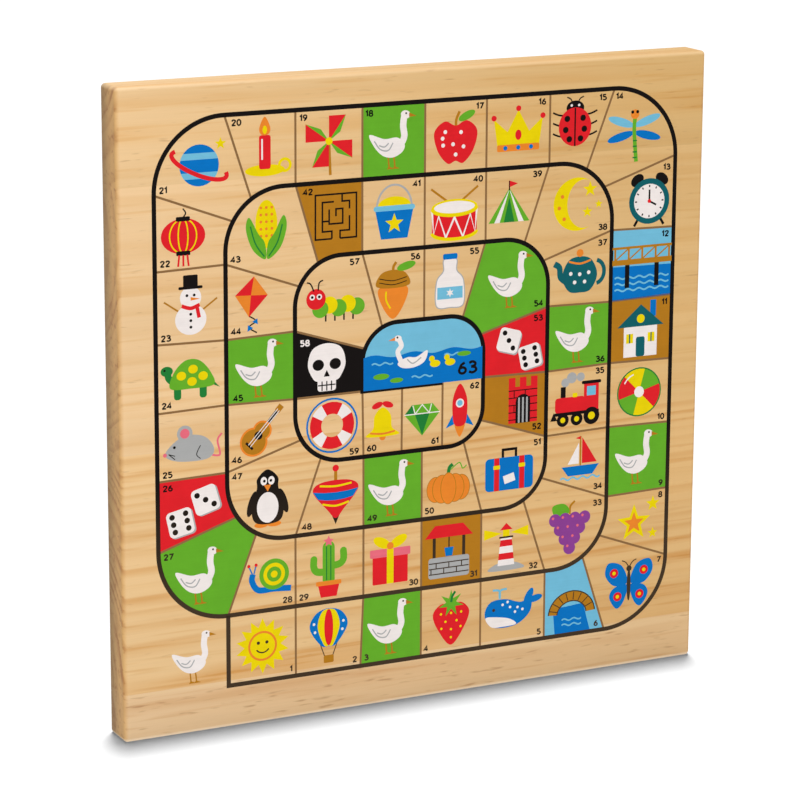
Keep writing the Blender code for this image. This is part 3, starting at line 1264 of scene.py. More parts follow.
def sailing_boat(p: Pen) -> None:
    """Sailing boat."""
    p.line(N, 0.08, poly(0, -0.4, 0, 1.0))
    p.fill(R, poly(0.08, 0.94, 0.08, -0.26, 0.84, -0.26))
    p.fill(W, poly(-0.08, 0.7, -0.08, -0.26, -0.64, -0.26))
    p.fill(B, even(0.95, -0.36, 0.62, -0.8))
    p.fill(R, poly(0, 1.0, 0, 0.84, -0.26, 0.92))
    p.line(S, 0.08, wave(-1.0, 1.0, -0.92, 0.5, 0.06))


def engine(p: Pen) -> None:
    """Steam engine."""
    p.fill(A, oval(-0.5, 0.74, 0.16), oval(-0.24, 0.9, 0.2), oval(0.12, 0.9, 0.16))
    p.fill(K, box(-0.58, 0.34, 0.2, 0.5), poly(-0.95, -0.32, -0.8, -0.62, -1.08, -0.62))
    p.fill(R, box(-0.3, -0.08, 1.2, 0.56, 0.12), box(0.56, 0.14, 0.6, 1.0))
    p.fill(S, box(0.56, 0.36, 0.36, 0.34))
    p.fill(K, box(0.56, 0.68, 0.78, 0.12, 0.05), box(-0.02, -0.4, 1.8, 0.12))
    p.fill(Y, box(-0.1, 0.26, 0.2, 0.16, 0.05))
    p.fill(K, oval(-0.58, -0.62, 0.24), oval(-0.02, -0.62, 0.24), oval(0.58, -0.56, 0.32))
    p.fill(Y, oval(-0.58, -0.62, 0.1), oval(-0.02, -0.62, 0.1), oval(0.58, -0.56, 0.14))


def teapot(p: Pen) -> None:
    """Teapot."""
    p.line(T, 0.15, arc(0.62, -0.1, 0.36, 0.42, -80, 80))
    p.line(T, 0.22, bend(-0.5, -0.4, -0.76, -0.2, -0.82, 0.16, -1.02, 0.3))
    p.fill(T, blob(even(0, 0.5, 0.46, 0.36, 0.7, -0.2, 0.44, -0.72, 0, -0.8)))
    p.line(O, 0.07, bend(-0.44, 0.34, 0, 0.24, 0.44, 0.34))
    p.fill(O, oval(0, 0.62, 0.14))
    p.dots(W, 0.07, even(0.36, -0.1, 0, -0.14, 0.2, -0.42))


def moon(p: Pen) -> None:
    """Moon and stars."""
    p.strip(Y, arc(0.1, 0, 0.95, 0.95, 60, 300), arc(0.36, 0, 0.66, 0.86, 73, 287))
    for x, y, outer, inner in ((0.6, 0.5, 0.3, 0.12), (0.5, -0.3, 0.22, 0.09), (0.95, -0.05, 0.16, 0.07)):
        p.fill(Y, star(x, y, 5, outer, inner))
    p.dots(O, 0.07, -0.5, 0.3, -0.62, -0.1, -0.42, -0.5)


def tent(p: Pen) -> None:
    """Striped tent."""
    p.fill(G, even(0, 0.7, 1.0, -0.8))
    p.fill(W, *both(poly(0, 0.66, 0.72, -0.8, 0.46, -0.8)))
    p.fill(D, even(0, 0.3, 0.26, -0.8))
    p.line(K, 0.06, poly(0, 0.6, 0, 1.02))
    p.fill(R, poly(0.02, 1.02, 0.02, 0.74, 0.42, 0.88))


def drum(p: Pen) -> None:
    """Drum with two sticks."""
    p.line(N, 0.08, *both(poly(0.2, 0.46, 0.9, 0.98)))
    p.dots(N, 0.1, even(0.14, 0.42))
    p.strip(R, arc(0, 0.3, 0.86, 0.26, 180, 360), arc(0, -0.6, 0.86, 0.26, 180, 360))
    zigzag = arc(0, -0.15, 0.86, 0.26, 180, 360)[::3] + np.resize([[0, 0.36], [0, -0.36]], (9, 2))
    p.line(W, 0.08, zigzag)
    p.line(Y, 0.12, arc(0, 0.28, 0.86, 0.26, 180, 360), arc(0, -0.56, 0.86, 0.26, 180, 360))
    p.fill(Y, oval(0, 0.3, 0.88, 0.28))
    p.fill(W, oval(0, 0.3, 0.78, 0.21))


def bucket(p: Pen) -> None:
    """Toy bucket full of sand."""
    p.line(A, 0.07, arc(0, 0.2, 0.66, 0.8, 0, 180))
    p.fill(Y, oval(0, 0.26, 0.62, 0.34))
    p.fill(B, even(0.74, 0.24, 0.5, -0.86))
    p.fill(S, box(0, 0.2, 1.56, 0.18, 0.08))
    p.fill(Y, star(0, -0.34, 5, 0.36, 0.15))


def corn(p: Pen) -> None:
    """Corn cob in its leaves."""
    p.fill(Y, oval(0, 0.24, 0.4, 0.82))
    p.dots(O, 0.05, *(v for y in (0.8, 0.56, 0.32, 0.08, -0.16) for x in (-0.2, 0, 0.2) for v in (x, y)))
    leaf = blob(0.04, -0.95, 0.5, -0.6, 0.74, 0.1, 0.62, 0.5, 0.3, -0.06, 0.06, -0.4)
    p.fill(G, *both(leaf))
    p.line(D, 0.05, *both(bend(0.08, -0.86, 0.4, -0.4, 0.58, 0.2)))


def kite(p: Pen) -> None:
    """Kite with a tail."""
    p.line(K, 0.05, bend(-0.1, -0.4, 0.16, -0.6, -0.1, -0.8, 0.2, -1.02))
    p.fill(R, poly(0.1, 1.0, -0.62, 0.36, -0.1, -0.44, 0.62, 0.3))
    p.fill(O, poly(0.1, 1.0, -0.02, 0.33, 0.62, 0.3), poly(-0.62, 0.36, -0.02, 0.33, -0.1, -0.44))
    p.fill(B, poly(0.02, -0.62, 0.22, -0.5, 0.24, -0.72), poly(0.06, -0.84, -0.14, -0.72, -0.16, -0.96))


def guitar(p: Pen) -> None:
    """Guitar."""
    p.line(K, 0.16, poly(0.1, 0.1, 0.66, 0.72))
    p.line(N, 0.24, poly(0.66, 0.72, 0.86, 0.94))
    for ink, edge in ((O, 0.08), (N, 0.0)):
        p.fill(ink, oval(-0.32, -0.4, 0.5 + edge), oval(0.04, 0.02, 0.32 + edge))
    p.fill(K, oval(-0.12, -0.16, 0.17))
    p.line(K, 0.1, poly(-0.64, -0.4, -0.36, -0.68))
    p.line(W, 0.03, poly(-0.54, -0.5, 0.7, 0.82), poly(-0.46, -0.58, 0.76, 0.74))


def penguin(p: Pen) -> None:
    """Penguin."""
    p.fill(O, *both(oval(0.24, -0.94, 0.26, 0.1)))
    p.fill(K, *both(oval(0.58, -0.16, 0.14, 0.46, 18)))
    p.fill(K, blob(even(0, 1.0, 0.38, 0.7, 0.4, 0.34, 0.6, -0.3, 0.42, -0.86)))
    p.fill(W, oval(0, -0.34, 0.4, 0.54), *both(oval(0.14, 0.6, 0.12, 0.15)))
    p.dots(K, 0.05, even(0.12, 0.6))
    p.fill(O, even(0.14, 0.46, 0, 0.22))


def spinning_top(p: Pen) -> None:
    """Spinning top."""
    p.line(N, 0.12, poly(0, 0.4, 0, 0.96))
    p.fill(K, even(0.14, -0.7, 0, -1.02))
    p.fill(R, blob(even(0.5, 0.52, 0.86, 0.2, 0.3, -0.5, 0, -0.8)))
    band = poly(-0.86, 0.2, -0.43, 0.14, 0, 0.12, 0.43, 0.14, 0.86, 0.2)
    p.strip(B, band, poly(-0.66, -0.08, -0.33, -0.14, 0, -0.16, 0.33, -0.14, 0.66, -0.08))
    p.line(Y, 0.07, bend(-0.5, -0.26, 0, -0.36, 0.5, -0.26), bend(-0.6, 0.4, 0, 0.34, 0.6, 0.4))
    p.fill(R, oval(0, 0.98, 0.12))


def pumpkin(p: Pen) -> None:
    """Pumpkin."""
    p.line(D, 0.16, bend(0, 0.4, 0.04, 0.68, 0.2, 0.82))
    p.line(G, 0.05, bend(0.1, 0.6, 0.5, 0.86, 0.66, 0.6, 0.84, 0.72))
    for x, rx in ((-0.6, 0.38), (0.6, 0.38), (-0.3, 0.42), (0.3, 0.42), (0, 0.34)):
        p.fill(N, oval(x, -0.2, rx + 0.03, 0.66 - 0.22 * abs(x) + 0.03))
        p.fill(O, oval(x, -0.2, rx, 0.66 - 0.22 * abs(x)))


def suitcase(p: Pen) -> None:
    """Suitcase with two straps."""
    p.line(K, 0.1, poly(-0.26, 0.4, -0.26, 0.72, 0.26, 0.72, 0.26, 0.4))
    p.fill(B, box(0, -0.16, 1.9, 1.2, 0.16))
    p.fill(R, *both(box(0.5, -0.16, 0.2, 1.2)))
    p.fill(Y, *both(box(0.5, 0.1, 0.26, 0.14)))
    p.fill(W, turned(box(0, 0, 0.44, 0.3), 14, 0, -0.34))


def milk_bottle(p: Pen) -> None:
    """Milk bottle."""
    glass = blob(even(0.24, 0.76, 0.26, 0.36, 0.52, 0.0, 0.52, -0.86, 0, -0.94))
    p.fill(W, glass)
    p.line(A, 0.04, glass, closed=True)
    p.fill(B, box(0, 0.86, 0.56, 0.2, 0.06))
    p.fill(S, box(0, -0.42, 0.98, 0.42))
    p.fill(W, star(0, -0.42, 6, 0.16, 0.07))


def acorn(p: Pen) -> None:
    """Acorn with a leaf."""
    p.fill(O, blob(even(0.5, 0.14, 0.46, -0.4, 0, -0.98)))
    p.line(Y, 0.06, bend(-0.26, 0.0, -0.26, -0.3, -0.1, -0.6))
    p.fill(N, blob(even(0, 0.74, 0.46, 0.62, 0.64, 0.2, 0, 0.1)))
    p.line(K, 0.03, *(bend(-0.52, y, 0, y - 0.1, 0.52, y) for y in (0.32, 0.46)))
    p.line(N, 0.1, bend(0, 0.7, 0.02, 0.86, 0.12, 1.0))
    p.fill(G, oval(0.5, 0.84, 0.36, 0.14, 14))


def caterpillar(p: Pen) -> None:
    """Caterpillar."""
    p.line(K, 0.06, *(poly(x, -0.3, x, -0.74) for x in (-0.3, 0.04, 0.38, 0.72)))
    for place, ink in enumerate((G, Y, G, Y, G)):
        p.fill(ink, oval(0.86 - 0.34 * place, -0.3 + 0.12 * (place % 2), 0.3))
    p.fill(R, oval(-0.66, 0.06, 0.36))
    p.line(K, 0.05, bend(-0.74, 0.34, -0.86, 0.6, -1.0, 0.66), bend(-0.58, 0.36, -0.54, 0.62, -0.4, 0.7))
    for ink, radius in ((W, 0.1), (K, 0.05)):
        p.dots(ink, radius, -0.8, 0.14, -0.54, 0.14)


def lifebuoy(p: Pen) -> None:
    """Lifebuoy with a rope."""
    p.line(B, 0.07, oval(0, 0, 0.94), closed=True)
    p.line(R, 0.42, oval(0, 0, 0.62), closed=True)
    p.line(W, 0.42, *(arc(0, 0, 0.62, 0.62, a, a + 34) for a in (28, 118, 208, 298)))


def bell(p: Pen) -> None:
    """Bell with a ribbon."""
    p.fill(O, oval(0, -0.74, 0.17))
    p.fill(Y, blob(even(0, 0.72, 0.42, 0.34, 0.5, -0.3, 0.84, -0.68)))
    p.line(O, 0.1, bend(-0.66, -0.5, 0, -0.58, 0.66, -0.5))
    p.fill(R, *both(oval(0.28, 0.84, 0.3, 0.15, -20)))


def gem(p: Pen) -> None:
    """Cut gem."""
    p.fill(G, even(0.55, 0.66, 0.95, 0.2, 0, -0.9))
    p.fill(D, even(0.4, 0.2, 0, -0.88), poly(-0.55, 0.66, -0.4, 0.2, -0.95, 0.2))
    p.line(W, 0.05, poly(-0.95, 0.2, 0.95, 0.2), poly(-0.5, 0.64, -0.38, 0.2, 0, 0.64, 0.38, 0.2, 0.5, 0.64))


def rocket(p: Pen) -> None:
    """Rocket with a flame."""
    p.fill(O, blob(even(0.2, -0.6, 0.16, -0.86, 0, -1.12)))
    p.fill(B, *both(poly(0.26, -0.1, 0.62, -0.72, 0.2, -0.56)))
    p.fill(R, blob(even(0, 1.05, 0.3, 0.5, 0.32, -0.2, 0.2, -0.64)))
    p.fill(W, oval(0, 0.26, 0.18))
    p.fill(S, oval(0, 0.26, 0.12))


PICTURES = {
    1: sun, 2: balloon, 3: goose, 4: strawberry, 5: whale, 6: bridge, 7: butterfly, 8: stars, 9: goose,
    10: beach_ball, 11: inn, 12: plank_bridge, 13: clock, 14: dragonfly, 15: ladybird, 16: crown,
    17: apple, 18: goose, 19: pinwheel, 20: candle, 21: planet, 22: lantern, 23: snowman, 24: tortoise,
    25: mouse, 26: partial(dice, side=1), 27: goose, 28: snail, 29: cactus, 30: gift, 31: well,
    32: lighthouse, 33: grapes, 34: sailing_boat, 35: engine, 36: goose, 37: teapot, 38: moon, 39: tent,
    40: drum, 41: bucket, 42: labyrinth, 43: corn, 44: kite, 45: goose, 46: guitar, 47: penguin,
    48: spinning_top, 49: goose, 50: pumpkin, 51: suitcase, 52: prison, 53: dice, 54: goose,
    55: milk_bottle, 56: acorn, 57: caterpillar, 58: skull, 59: lifebuoy, 60: bell, 61: gem, 62: rocket,
}


def footprint(picture: Callable[[Pen], None], mesh_size: float = 0.1, edge_points: int = 12) -> Curve:
    """Gives the points that a picture of unit size covers, the outermost in each square of a fine grid."""
    sheet = PrintedFace("sheet", 1, 0.0, 0.0)
    picture(Pen(sheet, 0.0, 0.0, 1.0))
    share = np.linspace(0, 1, edge_points)[None, :, None]
    edges = []
    for solid, triangles in (film for films in sheet.films.values() for film in films):
        start, stop = solid[triangles, :2], solid[np.roll(triangles, -1, 1), :2]
        start, stop = start.reshape(-1, 1, 2), stop.reshape(-1, 1, 2)
        edges.append(((1 - share) * start + share * stop).reshape(-1, 2))
    points = np.concatenate(edges)
    points = points[np.argsort(-np.linalg.norm(points, axis=1), kind="stable")]
    _, first = np.unique(np.round(points / mesh_size), axis=0, return_index=True)
    return points[first]


def near_steps(count: int, pitch: float) -> Curve:
    """Gives the points of a square grid round the origin, the nearest first."""
    line = np.arange(-count, count + 1) * pitch
    grid = np.stack(np.meshgrid(line, line), -1).reshape(-1, 2)
    return grid[np.argsort(np.linalg.norm(grid, axis=1), kind="stable")]


NUMBER_CORNERS = {
    (-1, 1): (14, 18, 19, 20, 26, 27, 42, 47, 58),
    (1, 1): (7, 8, 11, 12, 13, 15, 16, 17, 33, 35, 37, 39, 40, 41, 51, 53, 55, 56, 57, 62),
    (-1, -1): (3, 4, 21, 22, 23, 24, 25, 29, 43, 44, 45, 46, 48, 49, 50, 60),
    (1, -1): (1, 2, 5, 6, 9, 10, 28, 30, 31, 32, 34, 36, 38, 52, 54, 59, 61),
}
CORNER_CELLS = (7, 14, 21, 27, 33, 38, 43, 47, 51, 54, 57)
FIELDS = {
    G: (3, 9, 18, 27, 36, 45, 49, 54),
    S: (6, 12),
    N: (11, 31, 42, 52),
    R: (26, 53),
    K: (58,),
}
CORE_LINE = 5  # number of the first grid line past the middle
LAST_CELL = 62
GOAL = 63
SIDE_POINTS = 49  # of a cell's outer and of its inner line
WATER = {6: (slice(8, 37), 0.42), 12: (slice(0, 23), 1.0)}  # stretch of the outer line, and depth inwards


@dataclass
class GooseTrack:
    """The goose side: a square spiral lane of 62 numbered cells round a pond."""

    half: float = 132.4
    lane: float = 33.75
    line: float = 2.15
    divider: float = 1.05
    unit: float = 13.4
    digit: float = 2.7
    inset: float = 0.8
    clear: float = 0.55
    radii: tuple[float, ...] = (33.7, 28.5, 23.2, 18.0)
    line_end: float = 10.0  # where the spiral ends, right of the middle
    path_step: float = 1.5
    divider_shift: float = 7.0  # off the middle of a corner
    lean: float = 0.4  # of a picture from its square's middle towards its lines' middle
    smallest: float = 0.4  # share of the unit that a picture keeps
    shrink: float = 0.04  # share of the unit at each try
    fit_grid: tuple[int, float] = (5, 1.1)  # a picture's steps each way and their length
    label_grid: tuple[int, float] = (8, 0.8)  # and those of a number
    label_points: tuple[int, int] = (7, 5)  # across and up a number's box
    first_goose: tuple[float, float, float] = (-115.0, -116.5, 12.4)  # x, y and unit
    goal_label: tuple[float, float, float] = (-8.2, 6.0, 5.7)  # x from the right end, y and digit
    goal_weight: float = 0.22
    pond_share: float = 0.47 / 1.22  # the pond's unit as a share of half the middle

    def build(self, face: PrintedFace) -> list[Piece]:
        """Prints the fields, the lines, the pictures and the numbers.

        Args:
            face: the face to print on.

        Returns:
            One piece for each ink.
        """
        self.path, self.reach = self._spiral()
        self.nodes = self._grid_lines()
        self.cells = self._walk()
        self.outer, self.inner = self._ends()
        inks = {cell: ink for ink, cells in FIELDS.items() for cell in cells}
        for cell in range(1, LAST_CELL + 1):
            self._cell(face, cell, inks.get(cell))
        self._goal(face)
        for cell in range(1, LAST_CELL):
            ends = self.path[[self.outer[cell], self.inner[cell]]]
            face.add(U, *ribbon(ends, self.divider), Level.DETAIL)
        face.add(K, *ribbon(self.path, self.line), Level.LINE)
        goose(Pen(face, *self.first_goose))
        return face.build()

    def _spiral(self) -> tuple[Curve, np.ndarray]:
        """Gives the spiral line and the length along it.

        Each corner c between the directions d and e is the arc q(a) = c - r d + r e - r e cos(a) +
        r d sin(a), and the stretches between the arcs are filled with points.
        """
        half, lane = self.half, self.lane
        corners = [(lane - half, lane - half), (lane - half, -half)]
        radii = [0.0, 0.0]
        for turn, radius in enumerate(self.radii):
            low, high = turn * lane - half, half - turn * lane
            corners += [(high, low), (high, high), (low, high)]
            radii += [radius] * 3
            if turn < len(self.radii) - 1:
                corners.append((low, low + lane))
                radii.append(radius)
        corners += [(3 * lane - half, 0.0), (self.line_end, 0.0)]
        radii += [0.0, 0.0]
        corner = np.array(corners)
        way = np.diff(corner, axis=0)
        way /= np.linalg.norm(way, axis=1, keepdims=True)
        d, e = np.concatenate([way[:1], way])[:, None], np.concatenate([way, way[-1:]])[:, None]
        angle = np.linspace(0, np.pi / 2, ARC_POINTS)[None, :, None]
        bow = e * (1 - np.cos(angle)) - d * (1 - np.sin(angle))
        points = (corner[:, None] + np.array(radii)[:, None, None] * bow).reshape(-1, 2)
        gap = np.linalg.norm(np.diff(points, axis=0), axis=1)
        points = points[np.concatenate([[True], gap > 1e-6])]
        length = np.concatenate([[0.0], np.cumsum(gap[gap > 1e-6])])
        more = np.arange(0, length[-1], self.path_step)
        more = more[np.abs(more[:, None] - length).min(1) > 0.6 * self.line]
        reach = np.union1d(length, more)
        path = np.stack([np.interp(reach, length, points[:, axis]) for axis in range(2)], -1)
        return path, reach

    def _grid_lines(self) -> np.ndarray:
        """Gives the nine lines of the cell grid, the same across and up."""
        right = self.half - self.lane * np.arange(4)
        return np.concatenate([-right, [0.0], right[::-1]])

    def _walk(self) -> list[tuple[int, int]]:
        """Gives row and column of each cell's square from the start inwards."""
        walk = []
        for low in range(3):
            high = 7 - low
            walk += [(high, column) for column in range(max(low, 1), high + 1)]
            walk += [(row, high) for row in range(high - 1, low - 1, -1)]
            walk += [(low, column) for column in range(high - 1, low - 1, -1)]
            walk += [(row, low) for row in range(low + 1, high)]
        return walk

    def _nearest(self, place: Curve) -> int:
        """Gives the number of the spiral's point next to a place, past the start's upright line."""
        first = int(np.searchsorted(self.reach, self.lane - 0.5))
        return first + int(np.argmin(np.sum((self.path[first:] - place) ** 2, axis=1)))

    def _ends(self) -> tuple[list[int], list[int]]:
        """Gives the spiral's points where each divider starts outside and ends inside."""
        lines, lane = self.nodes, self.lane
        outer = [self._nearest((lane - self.half, -self.half))]
        inner = [self._nearest((lane - self.half, lane - self.half))]
        for cell, (here, there) in enumerate(zip(self.cells, self.cells[1:]), 1):
            low, high = np.minimum(here, there), np.maximum(here, there)
            if here[0] == there[0]:
                ends = poly(lines[high[1]], -lines[low[0]], lines[high[1]], -lines[low[0] + 1])
            else:
                ends = poly(lines[low[1]], -lines[high[0]], lines[low[1] + 1], -lines[high[0]])
            ends = ends[np.argsort(-np.abs(ends).sum(1))]
            outer.append(self._nearest(ends[0]))
            inner.append(self._beside(self._nearest(ends[1]), cell))
        core = self.nodes[CORE_LINE]
        for place in (-core, -core / 3, core / 3):
            outer.append(self._nearest((place, -core)))
            inner.append(self._nearest((place, 0.0)))
        outer.append(self._nearest((core, 0.0)))
        inner.append(inner[-1])
        return outer, inner

    def _beside(self, point: int, cell: int) -> int:
        """Moves a divider's inner end off the middle of the corner that it belongs to."""
        shift = self.divider_shift * ((cell in CORNER_CELLS) - (cell + 1 in CORNER_CELLS))
        return int(np.searchsorted(self.reach, self.reach[point] + shift))

    def _cell(self, face: PrintedFace, cell: int, ink: Ink | None) -> None:
        """Prints one cell: its field, its picture and its number."""
        sides = []
        for ends in (self.outer, self.inner):
            numbers = np.linspace(ends[cell - 1], ends[cell], SIDE_POINTS).round().astype(int)
            sides.append(self.path[numbers])
        if ink:
            face.add(ink, *between(*sides), Level.FIELD)
        if cell in WATER:
            rim, core = sides
            stretch, depth = WATER[cell]
            bank = (1 - depth) * rim + depth * core
            face.add(B, *between(rim[stretch], bank[stretch]), Level.DETAIL)
        place = self._number_place(cell, sides)
        middle, unit = self._fit(cell, sides, place)
        PICTURES[cell](Pen(face, middle[0], middle[1], unit))
        number(Pen(face, place[0], place[1], self.digit, Level.NUMBER), W if ink is K else K, cell)

    def _fit(self, cell: int, sides: list[Curve], label: Curve) -> tuple[Curve, float]:
        """Finds where a cell's picture can be largest, clear of its lines and its number.

        The picture's points p are tried at c + s p, with c stepping away from the cell's middle and
        s falling, until each point keeps off the borders and out of the number's box.

        Args:
            cell: number of the cell.
            sides: the cell's outer and inner line.
            label: middle of its number.

        Returns:
            Middle of the picture, and the length of its unit.
        """
        square = self._corner(cell, sides, 0, 0)
        if PICTURES[cell] is plank_bridge:
            return square, self.unit
        middle = (1 - self.lean) * square + self.lean * self._halfway(sides)
        half_label = self._half_label(cell) + self.clear
        shape = footprint(PICTURES[cell])
        steps = near_steps(*self.fit_grid)
        for unit in self.unit * np.arange(1.0, self.smallest, -self.shrink):
            tries = (middle + steps)[:, None] + unit * shape
            off_label = (np.abs(tries - label) > half_label).any(-1).all(-1)
            clear = self._clear_of_lines(tries[off_label], sides, self.clear)
            if clear.any():
                return middle + steps[off_label][np.argmax(clear)], float(unit)
        return middle, self.smallest * self.unit

    def _halfway(self, sides: list[Curve]) -> Curve:
        """Gives the point halfway along and between a cell's outer and inner line."""
        return 0.5 * (sides[0] + sides[1])[SIDE_POINTS // 2]

    def _clear_of_lines(self, tries: np.ndarray, sides: list[Curve], clear: float) -> np.ndarray:
        """Tells which sets of points lie inside a cell and keep off the lines round it.

        A point is inside when its distance from each divider is on the same side as the middle's.

        Args:
            tries: sets of points, one set a row.
            sides: the cell's outer and inner line.
            clear: least gap between a point and a line.

        Returns:
            One truth value for each set.
        """
        rim, core = sides
        inside = np.ones(len(tries), bool)
        for end in (0, -1):
            way = core[end] - rim[end]
            normal = np.array([-way[1], way[0]]) / np.linalg.norm(way)
            normal *= np.sign((self._halfway(sides) - rim[end]) @ normal)
            off_divider = (tries - rim[end]) @ normal - self.divider / 2
            inside &= off_divider.min(1) > clear
        gap = np.linalg.norm(tries[inside][:, :, None] - np.concatenate(sides), axis=-1)
        inside[inside] = gap.min((1, 2)) > self.line / 2 + clear
        return inside

    def _half_label(self, cell: int) -> np.ndarray:
        """Gives half the width and half the height of a cell's number."""
        return np.array([0.5 * digit_widths(cell).sum(), 0.5]) * self.digit

    def _corner(self, cell: int, sides: list[Curve], right: int, up: int) -> Curve:
        """Gives a corner of a cell's square, or its middle where right and up are nought."""
        if cell > len(self.cells):
            rim, core = sides
            across = 0.25 * (rim[0] + rim[-1] + core[0] + core[-1])[0]
            reach = self.nodes[CORE_LINE] / (2 if cell == LAST_CELL else 3)
            return np.array([across + reach * right, 0.5 * self.nodes[CORE_LINE] * (up - 1)])
        row, column = self.cells[cell - 1]
        middle = np.array([self.nodes[column : column + 2].mean(), -self.nodes[row : row + 2].mean()])
        return middle + 0.5 * self.lane * np.array([right, up])

    def _number_place(self, cell: int, sides: list[Curve]) -> Curve:
        """Gives the place next to a corner of the cell where its number is clear of all lines."""
        right, up = next(corner for corner, cells in NUMBER_CORNERS.items() if cell in cells)
        half = self._half_label(cell)
        lines = (np.linspace(-1, 1, count) for count in self.label_points)
        grid = np.stack(np.meshgrid(*lines), -1).reshape(-1, 2)
        start = self._corner(cell, sides, right, up) - (half + self.inset) * (right, up)
        tries = start + near_steps(*self.label_grid)
        clear = self._clear_of_lines(tries[:, None] + half * grid, sides, self.inset)
        return tries[np.argmax(clear)]

    def _goal(self, face: PrintedFace) -> None:
        """Prints the pond in the top half of the middle."""
        core, radius = self.nodes[CORE_LINE], self.radii[-1]
        top = arc(core - radius, core - radius, radius, radius, 0, 90)
        sky = np.concatenate([poly(-core, 0.0, core, 0.0), top, mirrored(top)[::-1]])
        face.add(S, *fan(sky), Level.FIELD)
        pond(Pen(face, 0.0, core / 2, self.pond_share * core))
        back, up, digit = self.goal_label
        number(Pen(face, core + back, up, digit, Level.NUMBER), K, GOAL, self.goal_weight)


@dataclass
class LudoCross:
    """The ludo side: a cross of squares between four coloured yards."""

    half: float = 132.0
    squares: int = 15
    line: float = 0.9
    frame: float = 1.8
    inks: tuple[Ink, ...] = (Ink.RED, Ink.GREEN, Ink.YELLOW, Ink.BLUE)

    def build(self, face: PrintedFace) -> list[Piece]:
        """Prints four turned copies of one yard and one arm, and the frame.

        Args:
            face: the face to print on.

        Returns:
            One piece for each ink.
        """
        self.square = 2 * self.half / self.squares
        for turn, ink in enumerate(self.inks):
            self._yard(face, ink, -90.0 * turn)
            self._arm(face, ink, -90.0 * turn)
            self._draw(face, poly(-1.5, 1.5, 0, 0), -90.0 * turn, LudoLevel.DIAGONAL + turn % 2)
        edge = box(0, 0, 2 * self.half, 2 * self.half)
        face.add(K, *ribbon(edge, self.frame, True), LudoLevel.FRAME)
        return face.build()

    def _fill(self, face: PrintedFace, ink: Ink, outline: Curve, turn: float, level: int) -> None:
        """Fills an outline that is given in squares and turned about the middle."""
        face.add(ink, *fan(turned(outline, turn) * self.square), level)

    def _draw(
        self, face: PrintedFace, path: Curve, turn: float, level: int, closed: bool = False
    ) -> None:
        """Draws a black line that is given in squares and turned about the middle."""
        face.add(K, *ribbon(turned(path, turn) * self.square, self.line, closed), level)

    def _yard(self, face: PrintedFace, ink: Ink, turn: float) -> None:
        """Prints a corner yard with places for four counters."""
        yard, garden = box(-4.5, 4.5, 6, 6), box(-4.5, 4.5, 4.2, 4.2, 0.7)
        self._fill(face, ink, yard, turn, LudoLevel.COLOUR)
        self._fill(face, W, garden, turn, LudoLevel.GARDEN)
        for outline in (yard, garden):
            self._draw(face, outline, turn, LudoLevel.OUTLINE, True)
        for x, y in poly(-5.4, 3.6, -3.6, 3.6, -5.4, 5.4, -3.6, 5.4):
            place = oval(x, y, 0.62)
            self._fill(face, ink, place, turn, LudoLevel.PLACE)
            self._draw(face, place, turn, LudoLevel.OUTLINE, True)

    def _arm(self, face: PrintedFace, ink: Ink, turn: float) -> None:
        """Prints the arm to the left: its home row, its start, its squares and its part of the middle."""
        row, start, middle = box(-4, 0, 5, 1), box(-6, 1, 1, 1), poly(-1.5, -1.5, -1.5, 1.5, 0, 0)
        for outline in (row, start, middle):
            self._fill(face, ink, outline, turn, LudoLevel.COLOUR)
        self._fill(face, W, star(-6, 1, 5, 0.36, 0.15), turn, LudoLevel.PLACE)
        for y in (-0.5, 0.5):
            self._draw(face, poly(-7.5, y, -1.5, y), turn, LudoLevel.ROW)
        for x in np.arange(-6.5, -1):
            self._draw(face, poly(x, -1.5, x, 1.5), turn, LudoLevel.RUNG)


